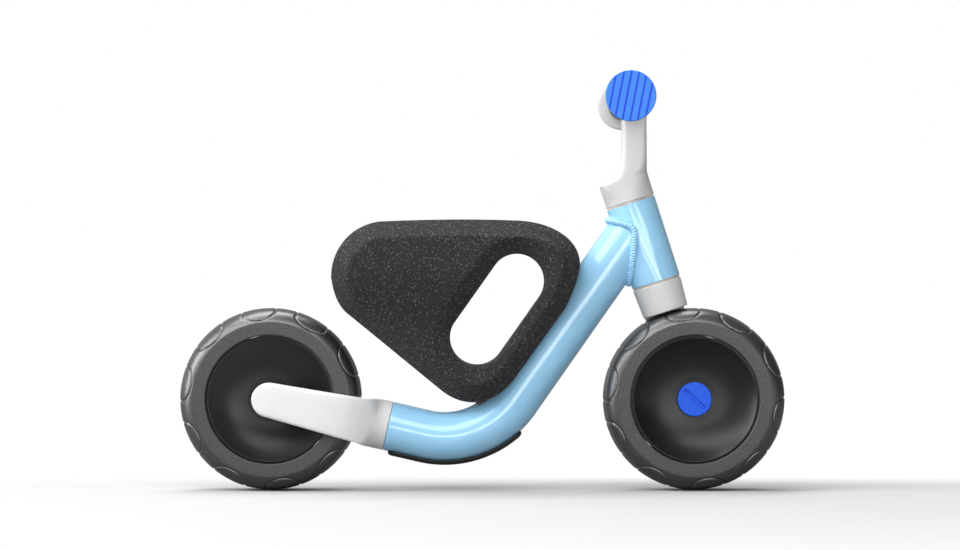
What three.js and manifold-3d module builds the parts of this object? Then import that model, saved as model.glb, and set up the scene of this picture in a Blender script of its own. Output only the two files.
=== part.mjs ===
// Toddler's balance bike: a bent tube frame with a foam seat, a single-sided rear arm,
// a single-sided fork, a moulded stem and a straight bar with round end discs.
// Millimetres, +X to the front, +Z up, +Y to the rider's left.
// The origin is on the floor, midway between the axles.

import * as THREE from 'three';
import { mergeVertices } from 'three/addons/utils/BufferGeometryUtils.js';
import Module from 'manifold-3d';

const wasm = await Module();
wasm.setup();

// ---------------------------------------------------------------- clearances
const touchGap = 0.3; // between pieces that rest on each other
const runningGap = 0.05; // radial, between a turning bore and its shaft's corners
const seatGap = 0.15; // radial, bearing in its seat
const sealGap = 0.6; // between turning faces
const toolReach = 60; // how far the cutting shapes go past the pieces

// -------------------------------------------------------------------- wheels
const wheelRadius = 87.5;
const wheelGap = 232.3; // between the two treads
const wheelWidth = 64;
const treadCrownRadius = 93; // across the tread
const shoulderWidth = 10; // from the crowned tread's edge to the tyre's face
const shoulderDrop = 13; // from the tread to the outer edge of the flat face
const tyreDepth = 26; // from the tread to the inside of the tyre
const hubLip = 4; // rounded rim of the dish
const dishDepth = 16; // from the tyre's face to the hub's flat centre
const dishFlatRadius = 29;
const dishCurve = [
  { out: 0.461, rise: 2 },
  { out: 0.78, rise: 7.5 },
]; // share of the way out to the rim, height over the flat centre
const bearingOuterRadius = 14;
const bearingWidth = 8;
const axleRadius = 6;
const axleBoreRadius = 3.4; // thread for the cap's shank
const capRadius = 16.4;
const capThickness = 4.5;
const capSlotLength = 27;
const capSlotWidth = 3.7;
const capSlotDepth = 2.2;
const capSlotAngle = 43; // degrees from level, falling to the front
const capShankLength = 14;

// --------------------------------------------------------------------- frame
const frameTubeRadius = 23.8;
const frameTubeWall = 1.8;
const stubIncline = 13; // degrees, falling to the front
const stubJointGap = 25.65; // from the front of the rear wheel to the joint with the arm
const stubJointDrop = 26.3; // from the rear axle down to the joint
const downTubeAngle = 55; // degrees from level
const bendRadius = 83;
const weldSize = 3.4;
const weldFront = 7.5; // the bead stays this far behind the steering axis
const accessHoleRadius = 8;
const boltHoleRadius = 3.3;

// ------------------------------------------------------------------ steering
const headTilt = 17.8; // degrees from upright, leaning back
const headTubeRadius = frameTubeRadius + 0.1;
const headTubeWall = 2.2;
const headTubeLength = 79.3;
const junctionShare = 0.7289; // of the head tube, where the down tube's line meets its axis
const bushLength = 14;
const bushFlange = 1.2;
const bushFlangeInset = 1.2;
const steererRadius = 14.3;
const steererWall = 2.2;
const steererInCrown = 16;
const steererInStem = 16;
const steeringBoltRadius = 4;
const steeringBoltHead = { radius: 6.5, height: 5.5, gap: 0.8 };
const stopPinRadius = 2;
const stopPinReach = 3; // out of the steerer
const steeringLimit = 45; // degrees each way

// ---------------------------------------------------------------------- fork
const crownLift = 0.7; // from the tread up to the crown's lower edge
const crownRoom = 30.3; // from the crown's lower edge to the head tube
const crownLowerRadius = headTubeRadius - 1.7;
const crownTaper = 3; // the leg is narrower than the crown by this, each side
const tyreClearance = 3.2;
const besideWheel = 3.5; // from the tyre's face to the arm and to the leg
const legThickness = 13;
const legTurnDrop = 25.5; // the leg starts to turn in this far under the tread
const legTurnPull = { outer: 22, inner: 30, width: 6.5 }; // how full the leg's shoulder is
const legHalfWidth = 16.6;
const bossRadius = 10.5;
const axleInLeg = 9;

// ------------------------------------------------------------- stem and bar
const stemCollarHeight = 22.6;
const stemColumn = { forward: 3.47, halfX: 11.8, halfY: 15 }; // forward of the stem's foot
const stemFlareShare = 0.45; // of the column's height
const stemBarrelRadius = 16.5;
const stemBarrelLength = 62;
const barOffset = { back: 3.63, up: 97.16 }; // from the stem's foot
const insertInStemLength = 8;
const insertRadius = 6.4;
const barLength = 230; // over the end caps
const barTubeRadius = 11;
const barTubeWall = 1.6;
const gripRadius = 14.5;
const gripRib = 0.8;
const gripRibCount = 4;
const flangeRadius = 23.9;
const flangeThickness = 6;
const endCapThickness = 5;
const endCapGroove = { pitch: 7, width: 2, depth: 1.4, tilt: 11, count: 6 };
const endCapPlugLength = 18;

// ----------------------------------------------------------------------- arm
const armThickness = 14;
const armEndRadius = 16.6;
const armUpperIncline = 9.9; // degrees, upper edge
const armLowerIncline = 15.8; // degrees, lower edge
const armTurn = { start: 22, ease: 8, foot: 2 }; // turning in, behind the joint
const armCollarLength = 20;
const spigotEndGap = 3; // from the spigot's end to the start of the bend
const armScrewRadius = 2.5;
const armScrewHead = { radius: 4.6, height: 2.6 };
const armScrewStations = [0.25, 0.78]; // share of the spigot, from the joint
const armScrewDepth = 3; // from the tube's centre line to the screw's point

// ---------------------------------------------------------------------- seat
const seatWidth = 124;
const seatWaist = 92; // width of the lower part
const seatBevel = 16;
const seatFlank = { wide: 81.1, pull: 53.6, narrow: 16.1 }; // heights where the width changes
const handleHole = { upperX: 70.29, upperZ: 67.16, lowerX: 31.49, lowerZ: 12.26, radius: 26.3 };
const seatTubeGap = 0.5;
const insertLength = 32;
const insertWidth = 26;
const insertHeight = 13;
const seatBoltRadius = 3;
const seatBoltHead = { radius: 5, height: 4, gap: 1.2 };
const seatBoltLength = 13;
const seatBoltStations = [0.76, 1]; // share of the bend, from its rear end

// -------------------------------------------------------------------- bumper
const bumperThickness = 3.6;
const bumperHalfAngle = 26; // degrees of the tube's section, each way
const bumperFrontShare = 0.83; // share of the bend where the strip ends
const bumperRearGap = 4.8; // from the joint to the strip's rear end

// ------------------------------------------------------------ derived places
const rad = THREE.MathUtils.degToRad;
const wheelbase = 2 * wheelRadius + wheelGap;
const rearAxle = new THREE.Vector3(-wheelbase / 2, 0, wheelRadius);
const frontAxle = new THREE.Vector3(wheelbase / 2, 0, wheelRadius);
const steerUp = new THREE.Vector3(-Math.sin(rad(headTilt)), 0, Math.cos(rad(headTilt)));
const onSteeringAxis = (height) => frontAxle.clone().addScaledVector(steerUp, height);
const halfWheel = wheelWidth / 2;
const shoulderStart = halfWheel - shoulderWidth;
const faceRadius = wheelRadius - shoulderDrop;
const hubRadius = wheelRadius - tyreDepth;
const hubFace = halfWheel - dishDepth; // half width of the hub's flat centre
const crownStart = wheelRadius + crownLift; // heights along the steering axis, from the axle
const headTubeStart = crownStart + crownRoom;
const headTubeTop = headTubeStart + headTubeLength;
const junctionHeight = headTubeStart + junctionShare * headTubeLength;
const crownTop = headTubeStart - bushFlange - 2 * touchGap;
const stemStart = headTubeTop + bushFlange + 2 * touchGap;
const stemFoot = onSteeringAxis(stemStart);
const barAxis = { x: stemFoot.x - barOffset.back, z: stemFoot.z + barOffset.up };
const armInner = halfWheel + besideWheel;
const legInner = halfWheel + besideWheel;
const armOuter = armInner + armThickness;
const legOuter = legInner + legThickness;
const sides = { round: 24, tube: 20, wheel: 36, axle: 16, small: 10 };
const bendSteps = 9;
const sweepSteps = bendSteps + 2;

// ------------------------------------------------------------- solid helpers

// A closed geometry as a solid that can be joined and cut.
function solid(geometry) {
  const bare = geometry.clone();
  bare.deleteAttribute('normal');
  bare.deleteAttribute('uv');
  const merged = mergeVertices(bare, 1e-4);
  return new wasm.Manifold(
    new wasm.Mesh({
      numProp: 3,
      vertProperties: new Float32Array(merged.attributes.position.array),
      triVerts: new Uint32Array(merged.index.array),
    }),
  );
}

function geometryOf(body) {
  const mesh = body.getMesh();
  const geometry = new THREE.BufferGeometry();
  geometry.setAttribute('position', new THREE.BufferAttribute(mesh.vertProperties, 3));
  geometry.setIndex(new THREE.BufferAttribute(mesh.triVerts, 1));
  return geometry;
}

function cut(geometry, ...tools) {
  let body = solid(geometry);
  for (const tool of tools) {
    body = body.subtract(solid(tool));
  }
  return geometryOf(body);
}

function join(geometry, ...others) {
  let body = solid(geometry);
  for (const other of others) {
    body = body.add(solid(other));
  }
  return geometryOf(body);
}

function common(geometry, ...others) {
  let body = solid(geometry);
  for (const other of others) {
    body = body.intersect(solid(other));
  }
  return geometryOf(body);
}

// Turns a half section of [radius, height] points about the Y axis. The points are put in the
// order that makes the faces point outwards, and a section off the axis is closed on itself.
function lathe(section, segments = sides.round) {
  const points = section.map(([radius, height]) => new THREE.Vector2(radius, height));
  if (points[0].x > 0) {
    points.push(points[0].clone());
  }
  if (THREE.ShapeUtils.area(points) < 0) {
    points.reverse();
  }
  return new THREE.LatheGeometry(points, segments);
}

// A plain ring or disc between two heights on the Y axis.
function ring(outer, inner, low, high, segments = sides.round) {
  return lathe([[inner, low], [outer, low], [outer, high], [inner, high]], segments);
}

function disc(radius, low, high, segments = sides.round) {
  return lathe([[0, low], [radius, low], [radius, high], [0, high]], segments);
}

// The corner radius of a many-sided bore that a many-sided shaft can turn in.
function turningBore(shaftRadius, segments) {
  return shaftRadius / Math.cos(Math.PI / segments) + runningGap;
}

// Turns a shape made about +Y so that its +Y points along a direction from a place.
function along(geometry, place, direction) {
  const turn = new THREE.Quaternion().setFromUnitVectors(
    new THREE.Vector3(0, 1, 0),
    direction.clone().normalize(),
  );
  return geometry.applyQuaternion(turn).translate(place.x, place.y, place.z);
}

// A flat shape drawn in X and Z, given a thickness between two Y values.
function sideExtrude(shape, low, high, curveSegments = 10) {
  const geometry = new THREE.ExtrudeGeometry(shape, {
    depth: high - low,
    bevelEnabled: false,
    curveSegments,
  });
  return geometry.rotateX(Math.PI / 2).translate(0, high, 0);
}

// A flat shape drawn in Y and Z, given a thickness between two X values.
function frontExtrude(shape, low, high, curveSegments = 10) {
  const geometry = new THREE.ExtrudeGeometry(shape, {
    depth: high - low,
    bevelEnabled: false,
    curveSegments,
  });
  return geometry.rotateX(Math.PI / 2).rotateZ(Math.PI / 2).translate(low, 0, 0);
}

// A flat shape drawn in X and Y, given a thickness between two Z values.
function topExtrude(shape, low, high, curveSegments = 10) {
  const geometry = new THREE.ExtrudeGeometry(shape, {
    depth: high - low,
    bevelEnabled: false,
    curveSegments,
  });
  return geometry.translate(0, 0, low);
}

// -------------------------------------------------------- frame's centre line
const stubDirection = new THREE.Vector3(Math.cos(rad(stubIncline)), 0, -Math.sin(rad(stubIncline)));
const downDirection = new THREE.Vector3(Math.cos(rad(downTubeAngle)), 0, Math.sin(rad(downTubeAngle)));
const stubJoint = rearAxle.clone().add(new THREE.Vector3(wheelRadius + stubJointGap, 0, -stubJointDrop));
const junction = onSteeringAxis(junctionHeight);

// The corner where the stub's line and the down tube's line cross.
function frameCorner() {
  const between = junction.clone().sub(stubJoint);
  const crossing = stubDirection.x * downDirection.z - stubDirection.z * downDirection.x;
  const reach = (between.x * downDirection.z - between.z * downDirection.x) / crossing;
  return stubJoint.clone().addScaledVector(stubDirection, reach);
}

const corner = frameCorner();
const bendAngle = rad(stubIncline + downTubeAngle);
const bendReach = bendRadius * Math.tan(bendAngle / 2);
const bendStart = corner.clone().addScaledVector(stubDirection, -bendReach);
const bendEnd = corner.clone().addScaledVector(downDirection, bendReach);
const bendCentre = bendStart
  .clone()
  .addScaledVector(new THREE.Vector3(-stubDirection.z, 0, stubDirection.x), bendRadius);

const spigotLength = stubJoint.distanceTo(bendStart) - spigotEndGap;

const leftward = new THREE.Vector3(0, 1, 0);

// Where a screw's axis crosses the stub's centre line.
const armScrewPlace = (station) => stubJoint.clone().addScaledVector(stubDirection, station * spigotLength);

// A point on the bend's centre line and the direction away from the bend's centre.
function onBend(share) {
  const angle = -Math.PI / 2 - rad(stubIncline) + share * bendAngle;
  const outward = new THREE.Vector3(Math.cos(angle), 0, Math.sin(angle));
  return { outward, point: bendCentre.clone().addScaledVector(outward, bendRadius) };
}

// The direction of travel along the bend.
function alongBend(share) {
  const angle = -rad(stubIncline) + share * bendAngle;
  return new THREE.Vector3(Math.cos(angle), 0, Math.sin(angle));
}

// The centre line from a start on the stub, round a share of the bend, to an end. Each straight
// takes one step of a sweep and the bend takes the rest.
class FrameCurve extends THREE.Curve {
  constructor(start, end, bendShare = 1) {
    super();
    this.start = start;
    this.end = end;
    this.bendShare = bendShare;
  }

  shareAt(step) {
    return this.bendShare * THREE.MathUtils.clamp((step - 1) / bendSteps, 0, 1);
  }

  getPointAt(share) {
    const step = share * sweepSteps;
    if (step <= 1) {
      return this.start.clone().lerp(bendStart, step);
    }
    const onArc = onBend(this.shareAt(step)).point;
    return step > bendSteps + 1 ? onArc.lerp(this.end, step - bendSteps - 1) : onArc;
  }

  getTangentAt(share) {
    return alongBend(this.shareAt(share * sweepSteps));
  }
}

function circleShape(radius) {
  return new THREE.Shape().absarc(0, 0, radius, 0, Math.PI * 2);
}

function sweep(shape, path, curveSegments = sides.tube / 2) {
  return new THREE.ExtrudeGeometry(shape, {
    extrudePath: path,
    steps: sweepSteps,
    bevelEnabled: false,
    curveSegments,
  });
}

// The frame tube's outer surface grown by a gap, as one full bar.
function frameBar(grow) {
  return sweep(circleShape(frameTubeRadius + grow), new FrameCurve(stubJoint, junction));
}

function headBar(grow, low, high) {
  return along(disc(headTubeRadius + grow, 0, high - low), onSteeringAxis(low), steerUp);
}

// --------------------------------------------------------------- frame pieces
function makeFrameTube() {
  const section = circleShape(frameTubeRadius);
  section.holes.push(new THREE.Path().absarc(0, 0, frameTubeRadius - frameTubeWall, 0, Math.PI * 2));
  const tube = sweep(section, new FrameCurve(stubJoint, junction));
  const tools = [headBar(touchGap, headTubeStart - toolReach, headTubeTop + toolReach)];
  for (const share of seatBoltStations) {
    const { point, outward } = onBend(share);
    tools.push(along(disc(accessHoleRadius, 0, toolReach, sides.small), point, outward));
    const boltHole = disc(boltHoleRadius, 0, toolReach, sides.small);
    tools.push(along(boltHole, point, outward.clone().negate()));
  }
  for (const station of armScrewStations) {
    const hole = disc(armScrewRadius + touchGap, 0, toolReach, sides.small);
    tools.push(along(hole, armScrewPlace(station), leftward));
  }
  return cut(tube, ...tools);
}

// Straight down from the stub's axis, square to it.
function stubDown() {
  return new THREE.Vector3(-Math.sin(rad(stubIncline)), 0, -Math.cos(rad(stubIncline)));
}

function makeHeadTube() {
  const tube = ring(headTubeRadius, headTubeRadius - headTubeWall, 0, headTubeLength);
  return along(tube, onSteeringAxis(headTubeStart), steerUp);
}

// What lies inside both grown tubes but outside both tubes: a fillet all round the joint.
function makeWeldBead() {
  const low = headTubeStart - 20;
  const high = headTubeTop + 20;
  const both = common(frameBar(weldSize), headBar(weldSize, low, high));
  const bead = cut(both, frameBar(touchGap), headBar(touchGap, low, high));
  const inFront = new THREE.BoxGeometry(2 * toolReach, 2 * toolReach, 4 * toolReach);
  inFront.translate(toolReach - weldFront, 0, headTubeStart);
  const above = headBar(toolReach, headTubeTop, high);
  const below = headBar(toolReach, low, headTubeStart);
  return cut(bead, intoSteering(inFront), above, below);
}

// A strip of the tube's own curve, on the outside of the bend.
function makeFrameBumper() {
  const start = stubJoint.clone().addScaledVector(stubDirection, bumperRearGap);
  const end = onBend(bumperFrontShare).point;
  const lastStep = bumperFrontShare / (bendSteps + 1);
  const inner = frameTubeRadius + touchGap;
  const outer = frameTubeRadius + bumperThickness;
  const half = rad(bumperHalfAngle);
  const middle = Math.PI / 2; // the section's +Y is the outside of the bend
  const section = new THREE.Shape();
  section.absarc(0, 0, outer, middle - half, middle + half);
  section.absarc(0, 0, inner, middle + half, middle - half, true);
  return sweep(section, new FrameCurve(start, end, bumperFrontShare - lastStep), 5);
}

// ------------------------------------------------------------------ rear arm
// The arm's side outline, from the round end to the joint with the tube.
function armOutline() {
  const upper = rad(90 - armUpperIncline);
  const lower = rad(-90 - armLowerIncline);
  const jointTop = stubJoint.clone().addScaledVector(stubDown(), -frameTubeRadius);
  const jointLow = stubJoint.clone().addScaledVector(stubDown(), frameTubeRadius);
  const outline = new THREE.Shape();
  outline.absarc(rearAxle.x, rearAxle.z, armEndRadius, upper, lower + 2 * Math.PI);
  outline.lineTo(jointLow.x, jointLow.z);
  outline.lineTo(jointTop.x, jointTop.z);
  return outline;
}

// The arm seen from above: along the wheel's side, then in to the collar's middle.
function armPlan() {
  const jointX = stubJoint.x + frameTubeRadius;
  const turnX = stubJoint.x - armTurn.start;
  const { ease, foot } = armTurn;
  const plan = new THREE.Shape();
  plan.moveTo(rearAxle.x - armEndRadius - 1, -armOuter);
  plan.lineTo(turnX - ease, -armOuter);
  const pull = { x: turnX + ease - foot, y: -frameTubeRadius - 1 };
  plan.bezierCurveTo(turnX + ease, -armOuter, pull.x, pull.y, stubJoint.x - foot, -frameTubeRadius);
  plan.lineTo(jointX, -frameTubeRadius);
  plan.lineTo(jointX, 0);
  plan.lineTo(stubJoint.x - armCollarLength + 2 * foot, 0);
  plan.quadraticCurveTo(turnX - ease, -armInner + ease - foot, turnX - 1.5 * ease, -armInner);
  plan.lineTo(rearAxle.x - armEndRadius - 1, -armInner);
  return plan;
}

function makeRearArm() {
  const outline = sideExtrude(armOutline(), -armOuter, 1, 12);
  const blade = common(outline, topExtrude(armPlan(), 0, 2 * wheelRadius, 12));
  const back = stubDirection.clone().negate();
  const collar = along(disc(frameTubeRadius, 0, armCollarLength), stubJoint, back);
  const boss = disc(bossRadius, hubFace + touchGap, armInner + 2).rotateX(Math.PI);
  boss.translate(rearAxle.x, 0, rearAxle.z);
  const tubeFlats = (frameTubeRadius - frameTubeWall) * Math.cos(Math.PI / sides.tube);
  const spigotRadius = tubeFlats - touchGap;
  const spigot = along(disc(spigotRadius, -2, spigotLength), stubJoint, stubDirection);
  const pastJoint = along(disc(toolReach, -touchGap, toolReach), stubJoint, stubDirection);
  const blank = join(cut(join(blade, collar), pastJoint), boss, spigot);
  const wheelRoom = wheelClearance(tyreClearance).translate(rearAxle.x, 0, rearAxle.z);
  const bore = disc(axleRadius + touchGap, -armInner - axleInLeg, 0, sides.axle);
  bore.translate(rearAxle.x, 0, rearAxle.z);
  return cut(blank, wheelRoom, bore, ...armScrewRooms());
}

// Pilot holes of the two screws in the spigot.
function armScrewRooms() {
  return armScrewStations.map((station) => {
    const hole = disc(armScrewRadius + touchGap, armScrewDepth - 1, toolReach, sides.small);
    return along(hole, armScrewPlace(station), leftward);
  });
}

// The tyre's outline grown by a gap, with the hub's dish left free for the boss.
function wheelClearance(gap) {
  const section = tyreOuterSection().map(([radius, y]) => [
    radius + gap,
    y + Math.sign(y) * gap,
  ]);
  const inner = hubRadius - hubLip - gap;
  return lathe([[inner, -halfWheel - gap], ...section, [inner, halfWheel + gap]], sides.wheel);
}

function makeArmScrew(station) {
  const seatHeight = frameTubeRadius + touchGap;
  const screw = lathe(
    [
      [0, armScrewDepth],
      [armScrewRadius, armScrewDepth],
      [armScrewRadius, seatHeight],
      [armScrewHead.radius, seatHeight],
      [armScrewHead.radius * 0.8, seatHeight + armScrewHead.height],
      [0, seatHeight + armScrewHead.height],
    ],
    sides.small,
  );
  return along(screw, armScrewPlace(station), leftward);
}

// -------------------------------------------------------------------- wheels

// Half the tyre's outer line, from the flat face over the shoulder and the tread, for both sides.
function tyreOuterSection() {
  const right = [];
  const treadAt = (y) => wheelRadius - treadCrownRadius + Math.sqrt(treadCrownRadius ** 2 - y ** 2);
  const shoulderRadius = treadAt(shoulderStart);
  const across = halfWheel - shoulderStart;
  const down = shoulderRadius - faceRadius;
  const shoulderSteps = 4;
  for (let i = 0; i <= shoulderSteps; i += 1) {
    const turn = (i / shoulderSteps) * (Math.PI / 2);
    right.push([faceRadius + down * Math.sin(turn), shoulderStart + across * Math.cos(turn)]);
  }
  const treadSteps = 2;
  for (let i = 1; i < treadSteps; i += 1) {
    const y = shoulderStart * (1 - i / treadSteps);
    right.push([treadAt(y), y]);
  }
  const left = right.map(([radius, y]) => [radius, -y]);
  return [...left, [wheelRadius, 0], ...right.reverse()];
}

function makeTyre() {
  const inner = hubRadius;
  return lathe([[inner, -halfWheel], ...tyreOuterSection(), [inner, halfWheel]], sides.wheel);
}

// One moulding: the bearing sleeve, a web dished on both sides and a rounded rim.
function makeHub() {
  const rim = hubRadius - touchGap;
  const bore = bearingOuterRadius + seatGap;
  const land = bearingOuterRadius - 3; // shoulder between the bearings
  const bearingEnd = hubFace - bearingWidth;
  const dishSpan = rim - hubLip - dishFlatRadius;
  const half = [
    [rim, halfWheel - 0.8],
    [rim - hubLip / 2, halfWheel + 0.2],
    [rim - hubLip, halfWheel - 0.6],
    ...dishCurve.map(({ out, rise }) => [dishFlatRadius + out * dishSpan, hubFace + rise]).reverse(),
    [dishFlatRadius, hubFace],
    [bore, hubFace],
    [bore, bearingEnd],
    [land, bearingEnd],
  ];
  const mirrored = half.map(([radius, y]) => [radius, -y]).reverse();
  return lathe([...half, ...mirrored], sides.wheel);
}

function makeBearing(side) {
  const high = hubFace - touchGap;
  const low = hubFace - bearingWidth + touchGap;
  const outer = bearingOuterRadius;
  const inner = turningBore(axleRadius, sides.axle);
  const groove = 0.5;
  const bearing = lathe(
    [
      [inner, low],
      [outer, low],
      [outer, high],
      [outer - 2, high],
      [outer - 2.4, high - groove],
      [inner + 2.4, high - groove],
      [inner + 2, high],
      [inner, high],
    ],
    sides.axle,
  );
  return side < 0 ? bearing.rotateX(Math.PI) : bearing;
}

function makeBearingSpacer() {
  const half = hubFace - bearingWidth - touchGap;
  return ring(axleRadius + 2.2, axleRadius + touchGap, -half, half, sides.axle);
}

// A steel stub from blind in the leg, through the hub, to the bearing at the free side.
// Made for a leg on the -Y side; the cap's thread is in the +Y end.
function makeAxle(inner) {
  const blindEnd = -inner - axleInLeg + touchGap;
  const free = hubFace - touchGap;
  const depth = capShankLength + 1;
  return lathe(
    [
      [0, blindEnd],
      [axleRadius, blindEnd],
      [axleRadius, free],
      [axleBoreRadius, free],
      [axleBoreRadius, free - depth],
      [0, free - depth],
    ],
    sides.axle,
  );
}

// A slotted cap on a threaded shank, made for the +Y side.
function makeAxleCap() {
  const back = hubFace + sealGap;
  const face = back + capThickness;
  const chamfer = 0.8;
  const cap = lathe([
    [0, hubFace - capShankLength],
    [axleBoreRadius - touchGap, hubFace - capShankLength],
    [axleBoreRadius - touchGap, hubFace],
    [axleRadius + 1.5, hubFace],
    [axleRadius + 1.5, back],
    [capRadius, back],
    [capRadius, face - chamfer],
    [capRadius - chamfer, face],
    [0, face],
  ]);
  const run = (capSlotLength - capSlotWidth) / 2;
  const slot = new THREE.Shape();
  slot.absarc(run, 0, capSlotWidth / 2, -Math.PI / 2, Math.PI / 2);
  slot.absarc(-run, 0, capSlotWidth / 2, Math.PI / 2, Math.PI * 1.5);
  const tool = sideExtrude(slot, face - capSlotDepth, face + 5, 6);
  return cut(cap, tool.rotateY(rad(capSlotAngle)));
}

// ------------------------------------------------------- fork, local to axle
// The fork's own frame has its origin on the axle and +Z along the steering axis.
function makeFork() {
  const crown = lathe([
    [0, crownStart],
    [crownLowerRadius, crownStart],
    [headTubeRadius, crownTop],
    [0, crownTop],
  ]).rotateX(Math.PI / 2);
  const turn = wheelRadius - legTurnDrop;
  const top = crownTop - 4;
  const pull = legTurnPull;
  const pullX = legInner + pull.width;
  const legFront = new THREE.Shape();
  legFront.moveTo(legOuter, -legHalfWidth - 1);
  legFront.lineTo(legOuter, turn);
  legFront.bezierCurveTo(legOuter, turn + pull.outer, pullX, turn + pull.inner, crownLowerRadius, top);
  legFront.lineTo(0, top);
  legFront.lineTo(0, turn - 2);
  legFront.lineTo(legInner, turn - 2);
  legFront.lineTo(legInner, -legHalfWidth - 1);
  const lowHalf = crownLowerRadius - crownTaper;
  const highHalf = crownLowerRadius - 2 * crownTaper;
  const legSide = new THREE.Shape();
  legSide.absarc(0, 0, legHalfWidth, Math.PI, 0);
  legSide.lineTo(lowHalf, crownStart);
  legSide.lineTo(highHalf, crownTop);
  legSide.lineTo(-highHalf, crownTop);
  legSide.lineTo(-lowHalf, crownStart);
  const drawn = frontExtrude(legFront, -toolReach, toolReach, 12);
  const leg = common(drawn, sideExtrude(legSide, -1, legOuter + 1, 12));
  const boss = disc(bossRadius, hubFace + touchGap, legInner + 2);
  const socketLow = crownTop - steererInCrown;
  const socket = disc(steererRadius + touchGap, socketLow, crownTop + 5).rotateX(Math.PI / 2);
  const boltHole = disc(steeringBoltRadius + 0.5, turn, crownTop, sides.small).rotateX(Math.PI / 2);
  const recess = disc(steeringBoltHead.radius + 1, turn, boltHeadSeat(), sides.small).rotateX(Math.PI / 2);
  const bore = disc(axleRadius + touchGap, 0, legInner + axleInLeg, sides.axle);
  const room = wheelClearance(tyreClearance);
  const headRoom = disc(toolReach, crownTop, crownTop + toolReach).rotateX(Math.PI / 2);
  return cut(join(crown, leg, boss), headRoom, room, socket, boltHole, recess, bore);
}

// The height in the crown where the long bolt's head bears.
function boltHeadSeat() {
  return wheelRadius + tyreClearance + steeringBoltHead.height + steeringBoltHead.gap;
}

function makeSteererTube() {
  const low = crownTop - steererInCrown + touchGap;
  const high = stemStart + steererInStem - touchGap;
  const pin = disc(stopPinRadius + touchGap, 0, toolReach, sides.small);
  pin.rotateX(Math.PI / 2).rotateY(-Math.PI / 2);
  const tube = ring(steererRadius, steererRadius - steererWall, low, high).rotateX(Math.PI / 2);
  return cut(tube, pin.translate(0, 0, stopPinHeight()));
}

const stopPinHeight = () => headTubeTop - bushLength / 2;

// A pin across the steerer's rear wall, riding in the upper bush's window.
function makeStopPin() {
  const pin = disc(stopPinRadius, steererRadius - steererWall - 2, steererRadius + stopPinReach, sides.small);
  return pin.rotateZ(Math.PI / 2).translate(0, 0, stopPinHeight());
}

function makeBush(upper) {
  const bore = headTubeRadius - headTubeWall - touchGap;
  const inner = turningBore(steererRadius, sides.round);
  const end = upper ? headTubeTop : -headTubeStart;
  const bush = lathe([
    [inner, end - bushLength],
    [bore, end - bushLength],
    [bore, end + touchGap],
    [headTubeRadius - bushFlangeInset, end + touchGap],
    [headTubeRadius - bushFlangeInset, end + touchGap + bushFlange],
    [inner, end + touchGap + bushFlange],
  ]).rotateX(Math.PI / 2);
  if (!upper) {
    return bush.rotateX(Math.PI);
  }
  return cut(bush, stopWindow());
}

// The sector that the stop pin sweeps, seen along the steering axis, open on the bore's side.
function stopWindow() {
  const spare = Math.asin((stopPinRadius + touchGap) / steererRadius);
  const half = rad(steeringLimit) + spare;
  const outer = steererRadius + stopPinReach + touchGap;
  const sector = new THREE.Shape();
  sector.absarc(0, 0, outer, Math.PI - half, Math.PI + half);
  sector.absarc(0, 0, steererRadius - 2, Math.PI + half, Math.PI - half, true);
  const low = stopPinHeight() - stopPinRadius - touchGap;
  const high = stopPinHeight() + stopPinRadius + touchGap;
  return topExtrude(sector, low, high, 12);
}

function makeSteeringBolt() {
  const head = steeringBoltHead;
  const seat = boltHeadSeat() - touchGap;
  const bolt = lathe(
    [
      [0, seat - head.height],
      [head.radius, seat - head.height],
      [head.radius, seat],
      [steeringBoltRadius, seat],
      [steeringBoltRadius, insertTop() - 2],
      [0, insertTop() - 2],
    ],
    sides.small,
  );
  return bolt.rotateX(Math.PI / 2);
}

const insertBottom = () => stemStart + steererInStem + 2;
const insertTop = () => insertBottom() + insertInStemLength;

function makeStemInsert() {
  const bore = steeringBoltRadius + touchGap;
  const insert = ring(insertRadius, bore, insertBottom(), insertTop(), sides.small);
  return insert.rotateX(Math.PI / 2);
}

// ------------------------------------------------------------ stem and bar

// Places the rings of an upright cylinder on a rounded section that changes with height.
// at(t) gives the ring's centre, its half sizes, its squareness and how far it leans.
function loft(at, rings, segments = sides.round) {
  const geometry = new THREE.CylinderGeometry(1, 1, 1, segments, rings);
  const place = geometry.attributes.position;
  for (let i = 0; i < place.count; i += 1) {
    const t = place.getY(i) + 0.5;
    const reach = Math.hypot(place.getX(i), place.getZ(i));
    const angle = Math.atan2(place.getX(i), place.getZ(i));
    const { x, z, halfX, halfY, square, lean } = at(t);
    const power = 2 / square;
    const along = reach * halfX * Math.sign(Math.cos(angle)) * Math.abs(Math.cos(angle)) ** power;
    const across = reach * halfY * Math.sign(Math.sin(angle)) * Math.abs(Math.sin(angle)) ** power;
    place.setXYZ(i, x + along * Math.cos(lean), across, z + along * Math.sin(lean));
  }
  return geometry;
}

// The column: from the tilted collar's round top it narrows and turns upright.
function stemSection(t) {
  const base = onSteeringAxis(stemStart + stemCollarHeight - 4);
  const ease = Math.min(t / stemFlareShare, 1);
  const left = (1 - ease) ** 2.2;
  const columnX = stemFoot.x + stemColumn.forward;
  const root = headTubeRadius - 2.5;
  return {
    x: columnX + (base.x - columnX) * left,
    z: base.z + (barAxis.z - base.z) * t,
    halfX: stemColumn.halfX + (root - stemColumn.halfX) * left,
    halfY: stemColumn.halfY + (root - stemColumn.halfY) * left,
    square: 2 + 0.8 * (1 - left),
    lean: rad(headTilt) * left,
  };
}

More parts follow.
